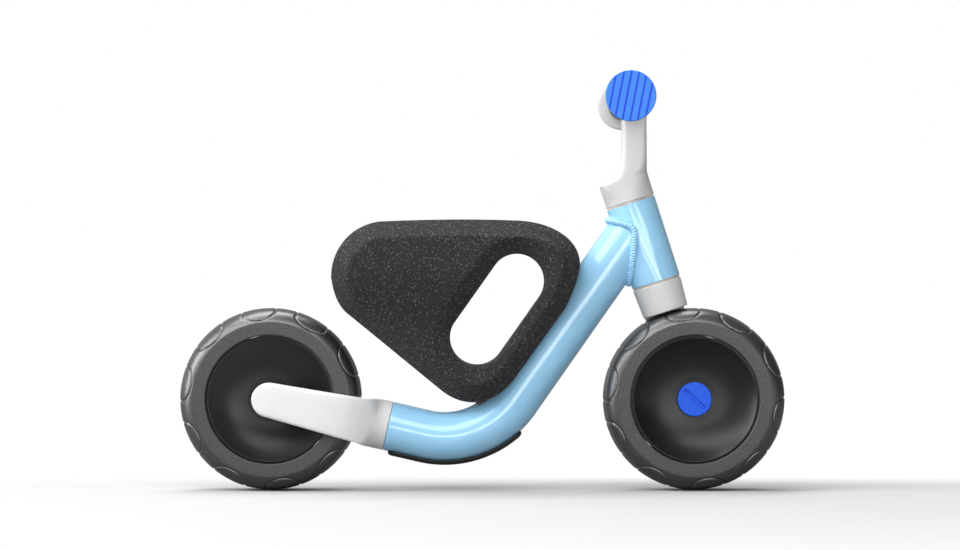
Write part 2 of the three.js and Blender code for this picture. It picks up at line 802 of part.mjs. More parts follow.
function makeStem() {
  const collar = along(disc(headTubeRadius, 0, stemCollarHeight), onSteeringAxis(stemStart), steerUp);
  const column = loft(stemSection, 10);
  const barrel = disc(stemBarrelRadius, -stemBarrelLength / 2, stemBarrelLength / 2);
  barrel.translate(barAxis.x, 0, barAxis.z);
  const bar = disc(barTubeRadius + touchGap, -barLength, barLength).translate(barAxis.x, 0, barAxis.z);
  const socket = disc(steererRadius + touchGap, stemStart - 1, stemStart + steererInStem);
  const insertRoom = disc(insertRadius + touchGap, stemStart, insertTop() + touchGap, sides.small);
  const tools = [socket, insertRoom].map((tool) => intoSteering(tool.rotateX(Math.PI / 2)));
  return cut(join(collar, column, barrel), bar, ...tools);
}

function makeHandlebarTube() {
  const half = barLength / 2 - endCapThickness - touchGap;
  return ring(barTubeRadius, barTubeRadius - barTubeWall, -half, half);
}

const flangeOuter = barLength / 2 - endCapThickness - touchGap;
const flangeInner = flangeOuter - flangeThickness;

// A rubber sleeve with round ribs.
function makeGrip() {
  const low = stemBarrelLength / 2 + touchGap;
  const high = flangeInner - touchGap;
  const pitch = (high - low) / gripRibCount;
  const section = [[barTubeRadius + touchGap, low]];
  for (let i = 0; i < gripRibCount; i += 1) {
    const start = low + i * pitch;
    section.push([gripRadius - gripRib, start]);
    section.push([gripRadius, start + pitch * 0.25]);
    section.push([gripRadius, start + pitch * 0.75]);
  }
  section.push([gripRadius - gripRib, high]);
  section.push([barTubeRadius + touchGap, high]);
  return lathe(section, 16);
}

function makeGripFlange() {
  const round = 1.5;
  return lathe([
    [barTubeRadius + touchGap, flangeInner],
    [flangeRadius - round, flangeInner],
    [flangeRadius, flangeInner + round],
    [flangeRadius, flangeOuter],
    [barTubeRadius + touchGap, flangeOuter],
  ]);
}

// A disc with parallel grooves and a plug that fits the bar's bore.
function makeBarCap() {
  const back = flangeOuter + touchGap;
  const face = barLength / 2;
  const plug = barTubeRadius - barTubeWall - touchGap;
  const cap = lathe([
    [0, back - endCapPlugLength],
    [plug, back - endCapPlugLength],
    [plug, back],
    [flangeRadius, back],
    [flangeRadius, face - 1],
    [flangeRadius - 1, face],
    [0, face],
  ]);
  const tools = [];
  const first = (-(endCapGroove.count - 1) / 2) * endCapGroove.pitch;
  for (let i = 0; i < endCapGroove.count; i += 1) {
    const groove = new THREE.BoxGeometry(endCapGroove.width, endCapGroove.depth * 2, 60);
    groove.translate(first + i * endCapGroove.pitch, face, 0);
    tools.push(groove.rotateY(rad(endCapGroove.tilt)));
  }
  return cut(cap, ...tools);
}

// ---------------------------------------------------------------------- seat

// The seat's side outline, a rounded triangle that leans on the down tube. The seat's drawings
// are in X and Z from the bend's centre.
function seatOutline() {
  const outline = new THREE.Shape();
  outline.moveTo(-107.7, 71.1);
  outline.bezierCurveTo(-107.7, 97.1, -89.4, 120.6, -61, 124);
  outline.quadraticCurveTo(15.2, 127.3, 72.4, 124.7);
  outline.bezierCurveTo(100.6, 123.1, 128.6, 109.1, 129.6, 84.1);
  outline.quadraticCurveTo(128.1, 65.1, 115.3, 40.5);
  outline.lineTo(68.6, -24.3);
  outline.bezierCurveTo(50.6, -49.4, 22.6, -58.4, -3.8, -36.6);
  outline.lineTo(-93.3, 36.7);
  outline.quadraticCurveTo(-104.9, 47.1, -107.7, 71.1);
  return outline;
}

function stadium(radius) {
  const { upperX, upperZ, lowerX, lowerZ } = handleHole;
  const heading = Math.atan2(upperZ - lowerZ, upperX - lowerX);
  const shape = new THREE.Shape();
  shape.absarc(upperX, upperZ, radius, heading - Math.PI / 2, heading + Math.PI / 2);
  shape.absarc(lowerX, lowerZ, radius, heading + Math.PI / 2, heading + Math.PI * 1.5);
  return shape;
}

// The seat seen from the front: wide at the top, narrower down by the tube.
function seatFront() {
  const half = seatWidth / 2;
  const waist = seatWaist / 2;
  const { wide, pull, narrow } = seatFlank;
  const shape = new THREE.Shape();
  shape.moveTo(-half, 2 * seatWidth);
  shape.lineTo(-half, wide);
  shape.bezierCurveTo(-half, pull, -waist, pull, -waist, narrow);
  shape.lineTo(-waist, -seatWidth);
  shape.lineTo(waist, -seatWidth);
  shape.lineTo(waist, narrow);
  shape.bezierCurveTo(waist, pull, half, pull, half, wide);
  shape.lineTo(half, 2 * seatWidth);
  return shape;
}

function makeSeat() {
  const slab = new THREE.ExtrudeGeometry(insetOutline(), {
    depth: seatWidth - 2 * seatBevel,
    bevelEnabled: true,
    bevelThickness: seatBevel,
    bevelSize: seatBevel,
    bevelSegments: 3,
    curveSegments: 6,
  });
  slab.rotateX(Math.PI / 2).translate(0, seatWidth / 2 - seatBevel, 0);
  const body = common(slab, frontExtrude(seatFront(), -2 * seatWidth, 2 * seatWidth, 6));
  const hole = sideExtrude(stadium(handleHole.radius), -seatWidth, seatWidth, 8);
  const placed = cut(body, hole).translate(bendCentre.x, 0, bendCentre.z);
  return cut(placed, frameBar(seatTubeGap), insertBlock(touchGap));
}

// The outline drawn in by the bevel, so that the bevelled slab has the outline's size.
function insetOutline() {
  const points = seatOutline().getPoints(6);
  const count = points.length - 1;
  const inset = [];
  for (let i = 0; i < count; i += 1) {
    const before = points[(i + count - 1) % count];
    const after = points[(i + 1) % count];
    const run = after.clone().sub(before).normalize();
    inset.push(points[i].clone().add(new THREE.Vector2(run.y, -run.x).multiplyScalar(seatBevel)));
  }
  return new THREE.Shape(inset);
}

// The insert stands on the tube round the two bolts: a block drawn from the side.
function insertBlock(grow) {
  const share = (seatBoltStations[0] + seatBoltStations[1]) / 2;
  const { point, outward } = onBend(share);
  const half = insertLength / 2 + grow;
  const top = -(frameTubeRadius + insertHeight + grow);
  const run = alongBend(share);
  const corner = (length, height) =>
    new THREE.Vector2(
      point.x + run.x * length + outward.x * height,
      point.z + run.z * length + outward.z * height,
    );
  const block = new THREE.Shape([corner(-half, 0), corner(half, 0), corner(half, top), corner(-half, top)]);
  return sideExtrude(block, -insertWidth / 2 - grow, insertWidth / 2 + grow);
}

function makeSeatInsert() {
  const rooms = seatBoltStations.map((share) => {
    const { point, outward } = onBend(share);
    const reach = frameTubeRadius - frameTubeWall + seatBoltLength + 2;
    return along(disc(seatBoltRadius + touchGap, 0, reach, sides.small), point, outward.clone().negate());
  });
  return cut(insertBlock(0), frameBar(touchGap), ...rooms);
}

function makeSeatBolt(share) {
  const { point, outward } = onBend(share);
  const seat = frameTubeRadius - frameTubeWall - seatBoltHead.gap;
  const bolt = lathe(
    [
      [0, seat - seatBoltHead.height],
      [seatBoltHead.radius, seat - seatBoltHead.height],
      [seatBoltHead.radius, seat],
      [seatBoltRadius, seat],
      [seatBoltRadius, seat + seatBoltLength],
      [0, seat + seatBoltLength],
    ],
    sides.small,
  );
  return along(bolt, point, outward.clone().negate());
}

// ------------------------------------------------------------------ assembly
const materials = {
  paint: { color: '#9ccff0', roughness: 0.25, metalness: 0.0 },
  armPlastic: { color: '#dedede', roughness: 0.55, metalness: 0.0 },
  foam: { color: '#303032', roughness: 0.9, metalness: 0.0 },
  tyre: { color: '#4a4a4c', roughness: 0.8, metalness: 0.0 },
  hubPlastic: { color: '#1e1e20', roughness: 0.45, metalness: 0.0 },
  bluePlastic: { color: '#2d69eb', roughness: 0.4, metalness: 0.0 },
  rubber: { color: '#161616', roughness: 0.7, metalness: 0.0 },
  bushPlastic: { color: '#2a2a2c', roughness: 0.5, metalness: 0.0 },
  steel: { color: '#b9bcc0', roughness: 0.3, metalness: 1.0 },
  brass: { color: '#c9a24e', roughness: 0.35, metalness: 1.0 },
};

function piece(name, geometry, finish) {
  const mesh = new THREE.Mesh(geometry, new THREE.MeshStandardMaterial(materials[finish]));
  mesh.name = name;
  return mesh;
}

function intoSteering(geometry) {
  return geometry.rotateY(-rad(headTilt)).translate(frontAxle.x, frontAxle.y, frontAxle.z);
}

// The five turning pieces of one wheel, on a group at its axle.
function wheelGroup(end, axle) {
  const wheel = new THREE.Group();
  wheel.position.copy(axle);
  wheel.add(
    piece(`${end}_tyre`, makeTyre(), 'tyre'),
    piece(`${end}_hub`, makeHub(), 'hubPlastic'),
    piece(`${end}_bearing_left`, makeBearing(1), 'steel'),
    piece(`${end}_bearing_right`, makeBearing(-1), 'steel'),
    piece(`${end}_bearing_spacer`, makeBearingSpacer(), 'steel'),
  );
  return wheel;
}

function frameGroup() {
  const frame = new THREE.Group();
  frame.add(
    piece('frame_tube', makeFrameTube(), 'paint'),
    piece('head_tube', makeHeadTube(), 'paint'),
    piece('weld_bead', makeWeldBead(), 'paint'),
    piece('frame_bumper', makeFrameBumper(), 'rubber'),
    piece('rear_arm', makeRearArm(), 'armPlastic'),
    piece('arm_screw_rear', makeArmScrew(armScrewStations[0]), 'steel'),
    piece('arm_screw_front', makeArmScrew(armScrewStations[1]), 'steel'),
    piece('seat', makeSeat(), 'foam'),
    piece('seat_insert', makeSeatInsert(), 'bushPlastic'),
    piece('seat_bolt_rear', makeSeatBolt(seatBoltStations[0]), 'steel'),
    piece('seat_bolt_front', makeSeatBolt(seatBoltStations[1]), 'steel'),
    piece('headset_bush_upper', intoSteering(makeBush(true)), 'bushPlastic'),
    piece('headset_bush_lower', intoSteering(makeBush(false)), 'bushPlastic'),
  );
  const axle = new THREE.Group();
  axle.position.copy(rearAxle);
  axle.add(piece('rear_axle', makeAxle(armInner), 'steel'));
  axle.add(piece('rear_axle_cap', makeAxleCap(), 'bluePlastic'));
  frame.add(axle);
  return frame;
}

// Everything that turns with the bar. The group leans back with the head tube.
function steeringGroup() {
  const steering = new THREE.Group();
  const leaning = new THREE.Group();
  leaning.position.copy(frontAxle);
  leaning.rotation.y = -rad(headTilt);
  leaning.add(
    piece('fork', makeFork(), 'armPlastic'),
    piece('steerer_tube', makeSteererTube(), 'steel'),
    piece('steering_stop_pin', makeStopPin(), 'steel'),
    piece('steering_bolt', makeSteeringBolt(), 'steel'),
    piece('stem_insert', makeStemInsert(), 'brass'),
  );
  const axle = new THREE.Group();
  axle.position.copy(frontAxle);
  axle.rotation.x = Math.PI;
  axle.add(piece('front_axle', makeAxle(legInner), 'steel'));
  axle.add(piece('front_axle_cap', makeAxleCap(), 'bluePlastic'));
  steering.add(leaning, axle, piece('stem', makeStem(), 'armPlastic'));
  const bar = new THREE.Group();
  bar.position.set(barAxis.x, 0, barAxis.z);
  bar.add(piece('handlebar_tube', makeHandlebarTube(), 'steel'));
  for (const [side, turn] of [['left', 0], ['right', Math.PI]]) {
    const end = new THREE.Group();
    end.rotation.x = turn;
    end.add(
      piece(`grip_${side}`, makeGrip(), 'rubber'),
      piece(`grip_flange_${side}`, makeGripFlange(), 'armPlastic'),
      piece(`bar_cap_${side}`, makeBarCap(), 'bluePlastic'),
    );
    bar.add(end);
  }
  steering.add(bar);
  return steering;
}

const bike = new THREE.Group();
bike.add(frameGroup(), steeringGroup(), wheelGroup('rear', rearAxle), wheelGroup('front', frontAxle));

export default bike;
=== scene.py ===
"""Finished surfaces, materials, stage and camera for a toddler's balance bike.

Lengths in the shape functions are millimetres: +X to the front, +Y to the rider's left,
+Z up, origin on the floor midway between the axles. Meshes are written in metres.
"""
import math

import bmesh
import bpy
import numpy as np
from bpy.props import FloatProperty, FloatVectorProperty, IntProperty, PointerProperty
from bpy.types import Operator, Panel, PropertyGroup
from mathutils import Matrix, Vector


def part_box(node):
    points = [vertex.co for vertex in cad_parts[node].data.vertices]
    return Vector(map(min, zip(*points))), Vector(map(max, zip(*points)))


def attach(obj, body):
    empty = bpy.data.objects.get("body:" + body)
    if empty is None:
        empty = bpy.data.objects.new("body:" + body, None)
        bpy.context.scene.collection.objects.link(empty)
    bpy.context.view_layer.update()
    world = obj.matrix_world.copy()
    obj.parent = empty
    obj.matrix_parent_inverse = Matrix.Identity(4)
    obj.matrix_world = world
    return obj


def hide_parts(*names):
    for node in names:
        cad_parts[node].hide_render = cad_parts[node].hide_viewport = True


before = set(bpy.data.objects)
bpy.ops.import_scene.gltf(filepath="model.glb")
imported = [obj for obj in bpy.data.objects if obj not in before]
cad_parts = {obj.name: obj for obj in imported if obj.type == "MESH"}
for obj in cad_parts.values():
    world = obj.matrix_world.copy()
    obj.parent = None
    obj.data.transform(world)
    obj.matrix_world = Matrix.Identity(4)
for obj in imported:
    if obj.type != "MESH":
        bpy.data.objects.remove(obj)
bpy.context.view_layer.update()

bl_info = {
    "name": "Balance Bike",
    "version": (1, 0, 0),
    "blender": (4, 5, 0),
    "location": "View3D > Sidebar > Bike",
    "description": "Makes the finished pieces of a toddler's balance bike round its frame",
    "category": "Add Mesh",
}

MM = 0.001

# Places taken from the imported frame
TYRE_LOW, TYRE_HIGH = (np.array(corner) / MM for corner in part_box("front_tyre"))
WHEEL_RADIUS = (TYRE_HIGH[2] - TYRE_LOW[2]) / 2
HALF_WHEEL = (TYRE_HIGH[1] - TYRE_LOW[1]) / 2
FRONT_AXLE = np.array([(TYRE_LOW[0] + TYRE_HIGH[0]) / 2, 0.0, WHEEL_RADIUS])
REAR_AXLE = FRONT_AXLE * np.array([-1.0, 1.0, 1.0])

# Wheel
FACE_RADIUS = 74.5
HUB_RADIUS = 61.5
SHOULDER_START = 22.0  # half the width of the crowned tread
TREAD_CROWN = 93.0  # radius across the tread
HUB_FACE = 16.0  # from the wheel's middle to the hub's flat centre
HUB_LIP = 58.6  # radius where the bowl starts
CAP_RADIUS = 16.4
CAP_THICKNESS = 4.5
CAP_SLOT = {"length": 27.0, "width": 3.7, "depth": 2.2}
CAP_SLOT_TILT = math.radians(43)

# Frame
TUBE_RADIUS = 23.8
TUBE_WALL = 1.8
STUB_INCLINE = math.radians(13)
DOWN_ANGLE = math.radians(55)
BEND_RADIUS = 83.0
STUB_JOINT = REAR_AXLE + np.array([113.15, 0.0, -26.3])
NECK = 0.96  # the tube's width is drawn in to this share where it meets the head tube
NECK_GAP = 0.25  # from the tube's end to the head tube
ARM_END = 16.6  # radius of the arm's and of the leg's round end
BOSS_RADIUS = 10.5
BOSS_END = 38.0

# Steering
HEAD_TILT = math.radians(17.8)
STEER_UP = np.array([-math.sin(HEAD_TILT), 0.0, math.cos(HEAD_TILT)])
STEER_FORWARD = np.array([math.cos(HEAD_TILT), 0.0, math.sin(HEAD_TILT)])
LEFT = np.array([0.0, 1.0, 0.0])
HEAD_RADIUS = 23.9
HEAD_WALL = 2.2
HEAD_START = 118.5
HEAD_LENGTH = 79.3
JUNCTION = FRONT_AXLE + 176.3 * STEER_UP
CROWN_RADIUS = 22.2  # at its lower edge
CROWN_START = 88.2
CROWN_TOP = 116.7
STEM_START = 199.6
COLLAR_HEIGHT = 22.6

# Bar
BAR_AXIS = np.array([139.0, 0.0, 374.7])
BAR_TUBE_ROOM = 11.3  # inside of the sleeves round the bar's tube
BARREL = {"radius": 16.5, "half_length": 31.0}
GRIP = {"start": 31.3, "end": 103.4, "radius": 14.5, "groove": 0.9}
FLANGE = {"start": 103.7, "end": 109.7}
END_DISC = {"start": 110.3, "radius": 23.9, "thickness": 4.7}
END_GROOVE = {"pitch": 7.0, "count": 6, "width": 1.7, "depth": 1.3}
END_GROOVE_TILT = math.radians(11)

# Seat
HOLE_UPPER = np.array([33.7, 201.1])
HOLE_LOWER = np.array([-5.1, 146.2])
HOLE_RADIUS = 26.3


# ------------------------------------------------------------------ settings
def linear(code):
    """An sRGB hex colour as linear red, green and blue."""
    parts = np.array([int(code[i : i + 2], 16) / 255 for i in (1, 3, 5)])
    high = ((parts + 0.055) / 1.055) ** 2.4
    return tuple(float(c) for c in np.where(parts <= 0.04045, parts / 12.92, high))


def colour_property(name, description, code):
    return FloatVectorProperty(
        name=name, description=description, default=linear(code),
        size=3, min=0, max=1, subtype="COLOR",
    )


def length_property(name, description, default):
    return FloatProperty(
        name=name, description=description, default=default * MM,
        min=0, unit="LENGTH", subtype="DISTANCE",
    )


class BikeSizes(PropertyGroup):
    """Sizes of the finish that can change without moving the frame."""

    pad_length: length_property("Tread pad length", "Length of one pad round the tyre", 32.0)
    groove_depth: length_property("Tread groove depth", "Depth of the groove round a pad", 1.0)
    seat_bevel: length_property("Seat bevel", "Width of the bevel round the seat's sides", 16.0)
    weld_ripple: length_property("Weld ripple", "Pitch of the ripples in the weld bead", 2.6)
    tread_pads: IntProperty(
        name="Tread pads", description="Pads round one tyre", default=10, min=4, max=20
    )


class BikeColours(PropertyGroup):
    """Colours of the finishes."""

    paint: colour_property("Frame paint", "Enamel on the frame tubes", "#A2DAFF")
    plastic: colour_property("Light plastic", "Fork, stem and end flanges", "#D9D9D9")
    # Painted light: the arm is the same nylon as the light plastic, made lighter for the brighter
    # light that falls on it
    arm: colour_property("Arm plastic", "Rear arm, moulded in a slightly lighter tone", "#EAEAEA")
    foam: colour_property("Seat foam", "Moulded bead foam", "#1D1D1F")
    fleck: colour_property("Foam flecks", "Lighter beads in the foam", "#8E9094")
    tyre: colour_property("Tyre", "Tyre rubber", "#3E3E3F")
    hub: colour_property("Hub", "Wheel discs", "#151516")
    blue: colour_property("Blue plastic", "Axle caps", "#0A57E0")
    bar_end: colour_property("Bar ends", "Flats of the bar ends", "#3880E8")
    # Painted shade: a darker blue for the shade that falls in the bar ends' grooves
    bar_groove_shade: colour_property("Bar end grooves", "Grooves of the bar ends", "#1A57E8")


# -------------------------------------------------------------------- curves
def smoothstep(low, high, value):
    """0 below low, 1 above high and the cubic 3t^2 - 2t^3 between."""
    t = np.clip((value - low) / (high - low), 0, 1)
    return t * t * (3 - 2 * t)


def unit(vectors):
    return vectors / np.linalg.norm(vectors, axis=-1, keepdims=True)


def full_turn(count):
    return np.linspace(0, 2 * math.pi, count, endpoint=False)


def smoothed(values, times):
    """Values whose inner ones are averaged 1-2-1 with their neighbours, this many times."""
    values = np.array(values, dtype=float)
    for _ in range(times):
        values[1:-1] = (values[:-2] + 2 * values[1:-1] + values[2:]) / 4
    return values


def run_along(points):
    """Length along a row of points up to each of them."""
    step = np.linalg.norm(np.diff(points, axis=0), axis=1)
    return np.concatenate([[0], np.cumsum(step)])


def evenly_spaced(loop, count):
    """A closed loop's points spaced evenly along it, and its whole length."""
    closed = np.concatenate([loop, loop[:1]])
    run = run_along(closed)
    even = np.linspace(0, run[-1], count, endpoint=False)
    return np.stack([np.interp(even, run, axis) for axis in closed.T], axis=1), run[-1]


def superellipse(angle, power):
    """Points (a, b) with |a|^power + |b|^power = 1."""
    c, s = np.cos(angle), np.sin(angle)
    return np.sign(c) * np.abs(c) ** (2 / power), np.sign(s) * np.abs(s) ** (2 / power)


def rounded(section, radius=0.5, steps=4):
    """A section with each corner replaced by a small arc-like curve of the given reach."""
    section = np.asarray(section, dtype=float)

    def reach(other):
        run = other - section
        length = np.linalg.norm(run, axis=1, keepdims=True)
        return section + run / length * np.minimum(radius, 0.45 * length)

    start, end = (reach(np.roll(section, shift, axis=0))[:, None] for shift in (1, -1))
    t = np.linspace(0, 1, steps + 1)[None, :, None]
    curve = (1 - t) ** 2 * start + 2 * t * (1 - t) * section[:, None] + t**2 * end
    return curve.reshape(-1, 2)


# ------------------------------------------------------------- mesh from grids
def grid_faces(rows, cols, wrap_rows, wrap_cols):
    """Corner numbers of the quads of a rows by cols grid, either way round closed if asked."""
    r = np.arange(rows if wrap_rows else rows - 1)
    c = np.arange(cols if wrap_cols else cols - 1)
    r, c = np.meshgrid(r, c, indexing="ij")
    r2, c2 = (r + 1) % rows, (c + 1) % cols
    corners = [r * cols + c, r * cols + c2, r2 * cols + c2, r2 * cols + c]
    return np.stack(corners, axis=-1).reshape(-1, 4)


def mesh_from_sheets(name, sheets):
    """One mesh of several closed grids. Each sheet is (points in mm, wrap_rows, wrap_cols).
    Poles are merged and each grid is turned so that its volume is positive."""
    mesh = bpy.data.meshes.new(name)
    work = bmesh.new()
    for points, wrap_rows, wrap_cols in sheets:
        faces = grid_faces(points.shape[0], points.shape[1], wrap_rows, wrap_cols)
        flat = points.reshape(-1, 3) * MM
        a, b, c, d = (flat[faces[:, i]] for i in range(4))
        volume = (a * np.cross(b, c)).sum() + (a * np.cross(c, d)).sum()
        if volume < 0:
            faces = faces[:, ::-1]
        part = bpy.data.meshes.new("part")
        part.from_pydata(flat.tolist(), [], faces.tolist())
        work.from_mesh(part)
        bpy.data.meshes.remove(part)
    bmesh.ops.remove_doubles(work, verts=work.verts, dist=2e-6)
    bmesh.ops.dissolve_degenerate(work, edges=work.edges, dist=1e-7)
    work.to_mesh(mesh)
    work.free()
    return mesh


def turned(section, place, axis, sides=96, closed=True):
    """A half section of [radius, height] points turned about an axis:
    P = place + height * axis + radius * (side1 cos a + side2 sin a)."""
    section = np.asarray(section, dtype=float)
    side1 = unit(np.cross(axis, LEFT if abs(axis[1]) < 0.9 else STEER_FORWARD))
    side2 = np.cross(axis, side1)
    angle = full_turn(sides)[:, None]
    spoke = np.cos(angle) * side1 + np.sin(angle) * side2
    radius, height = section[:, 0], section[:, 1]
    return place + height[:, None, None] * axis + radius[:, None, None] * spoke, closed, True


def solid_rod(radius, low, high):
    """Half section of a plain rod between two heights, for turned(closed=False)."""
    return [[0, low], [radius, low], [radius, high], [0, high]]


def capped(sections):
    """A row of sections with each end closed by one that is shrunk to its middle."""
    first, last = (np.broadcast_to(s.mean(axis=0), s.shape)[None] for s in sections[[0, -1]])
    return np.concatenate([first, sections, last]), False, True


def fused(name, sheets, voxel, smooth):
    """Several closed grids melted into one moulding: a voxel remesh, then smoothing, which
    leaves the fillets and rounded edges of a moulded part."""
    source = bpy.data.objects.new(name, mesh_from_sheets(name, sheets))
    bpy.context.scene.collection.objects.link(source)
    remesh = source.modifiers.new("melt", "REMESH")
    remesh.mode = "VOXEL"
    remesh.voxel_size = voxel * MM
    soften = source.modifiers.new("soften", "SMOOTH")
    soften.factor = 0.5
    soften.iterations = smooth
    ready = source.evaluated_get(bpy.context.evaluated_depsgraph_get())
    mesh = bpy.data.meshes.new_from_object(ready)
    bpy.data.objects.remove(source)
    mesh.materials.clear()
    mesh.name = name
    return mesh


def move_points(mesh, change):
    """Rewrites a mesh's points, in mm, by a function of the whole array."""
    flat = np.empty(len(mesh.vertices) * 3)
    mesh.vertices.foreach_get("co", flat)
    mesh.vertices.foreach_set("co", (change(flat.reshape(-1, 3) / MM) * MM).ravel())
    mesh.update()


def second_finish(mesh, chosen):
    """Gives the mesh's second material to the faces that a test of their middles, in mm, picks."""
    flat = np.empty(len(mesh.polygons) * 3)
    mesh.polygons.foreach_get("center", flat)
    index = chosen(flat.reshape(-1, 3) / MM).astype(np.int32)
    mesh.polygons.foreach_set("material_index", index)


finishes = {}  # filled by the materials operator


def add_piece(name, shape, finish, body, nodes, sharp=32, second=None):
    """Puts a mesh, or one made of sheets, in the scene as a finished piece that rides on a
    body in place of CAD nodes. Edges that turn more than sharp degrees stay crisp."""
    mesh = shape if isinstance(shape, bpy.types.Mesh) else mesh_from_sheets(name, shape)
    mesh.shade_smooth()
    if sharp:
        mesh.set_sharp_from_angle(angle=math.radians(sharp))
    obj = bpy.data.objects.new(name, mesh)
    bpy.context.scene.collection.objects.link(obj)
    for key in (finish, second) if second else (finish,):
        mesh.materials.append(finishes[key])
    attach(obj, body)
    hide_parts(*nodes)
    return obj


# ----------------------------------------------------------------- materials
def add_node(tree, kind, inputs=None, stops=(), **settings):
    """Adds a node, sets its properties and colour stops, and sets or links its inputs. A node
    that is given as an input stands for its first output."""
    node = tree.nodes.new("ShaderNode" + kind)
    for key, value in settings.items():
        setattr(node, key, value)
    for place, (position, colour) in enumerate(stops):
        node.color_ramp.elements[place].position = position
        node.color_ramp.elements[place].color = (*colour, 1)
    for key, value in (inputs or {}).items():
        if isinstance(value, bpy.types.Node):
            value = value.outputs[0]
        if isinstance(value, bpy.types.NodeSocket):
            tree.links.new(value, node.inputs[key])
        else:
            node.inputs[key].default_value = value
    return node


def new_material(name, **surface):
    """A material of one Principled surface; returns it with its tree, surface and coordinates."""
    material = bpy.data.materials.new(name)
    material.use_nodes = True
    tree = material.node_tree
    shader = tree.nodes["Principled BSDF"]
    for key, value in surface.items():
        shader.inputs[key.replace("_", " ")].default_value = value
    return material, tree, shader, add_node(tree, "TexCoord").outputs["Object"]


def per_metre(size):
    """Pattern scale whose features are this many millimetres across."""
    return 1000 / size


def tones(colour, low, high):
    """A colour times two factors."""
    return [tuple(min(1.0, c * amount) for c in colour) for amount in (low, high)]


def grained(name, colours, size, height, detail=2, mottle=None, **surface):
    """A material with grains size mm across and height mm deep. Its colour runs between two
    tones with the grain, or with a mottling of its own size."""
    material, tree, shader, place = new_material(name, **surface)
    noise = {"Vector": place, "Scale": per_metre(size), "Detail": detail}
    grain = tone = add_node(tree, "TexNoise", noise)
    if mottle:
        noise = {"Vector": place, "Scale": per_metre(mottle), "Detail": 3.0}
        tone = add_node(tree, "TexNoise", noise)
    bump = add_node(tree, "Bump", {"Height": grain, "Distance": height * MM, "Strength": 1.0})
    tint = add_node(tree, "ValToRGB", {"Fac": tone}, stops=list(zip((0.3, 0.7), colours)))
    tree.links.new(bump.outputs["Normal"], shader.inputs["Normal"])
    tree.links.new(tint.outputs["Color"], shader.inputs["Base Color"])
    return material


def bead_foam(colour, fleck):
    """Steam-moulded expanded polypropylene: 3 mm beads pressed flat against each other, dull,
    each bead a slightly different grey, with paler flecks where a bead's skin faces out."""
    material, tree, shader, place = new_material(
        "moulded bead foam", Roughness=0.82, IOR=1.45, Sheen_Weight=0.14, Sheen_Roughness=0.5
    )
    cells = {"Vector": place, "Scale": per_metre(3.0)}
    beads = add_node(tree, "TexVoronoi", cells, feature="DISTANCE_TO_EDGE")
    seam = add_node(tree, "MapRange", {"Value": beads, "From Min": 0.0, "From Max": 0.16})
    flecks = add_node(tree, "TexVoronoi", {"Vector": place, "Scale": per_metre(1.35)})
    chance = add_node(tree, "SeparateColor", {"Color": flecks.outputs["Color"]})
    rare = add_node(tree, "MapRange", {"Value": chance, "From Min": 0.62, "From Max": 1.0})
    near = add_node(tree, "MapRange", {"Value": flecks, "From Min": 0.46, "From Max": 0.14})
    spot = add_node(tree, "Math", {0: rare, 1: near}, operation="MULTIPLY")
    noise = {"Vector": place, "Scale": per_metre(1.2), "Detail": 3.0}
    mottle = add_node(tree, "TexNoise", noise)
    stops = list(zip((0.35, 0.72), tones(colour, 0.55, 1.9)))
    base = add_node(tree, "ValToRGB", {"Fac": mottle}, stops=stops)
    mix = add_node(tree, "Mix", {"Factor": spot, 6: base, 7: (*fleck, 1)}, data_type="RGBA")
    tree.links.new(mix.outputs[2], shader.inputs["Base Color"])
    seams = add_node(tree, "Bump", {"Height": seam, "Distance": 0.35 * MM, "Strength": 0.5})
    skin = {"Height": mottle, "Distance": 0.8 * MM, "Strength": 0.9, "Normal": seams}
    tree.links.new(add_node(tree, "Bump", skin).outputs["Normal"], shader.inputs["Normal"])
    return material


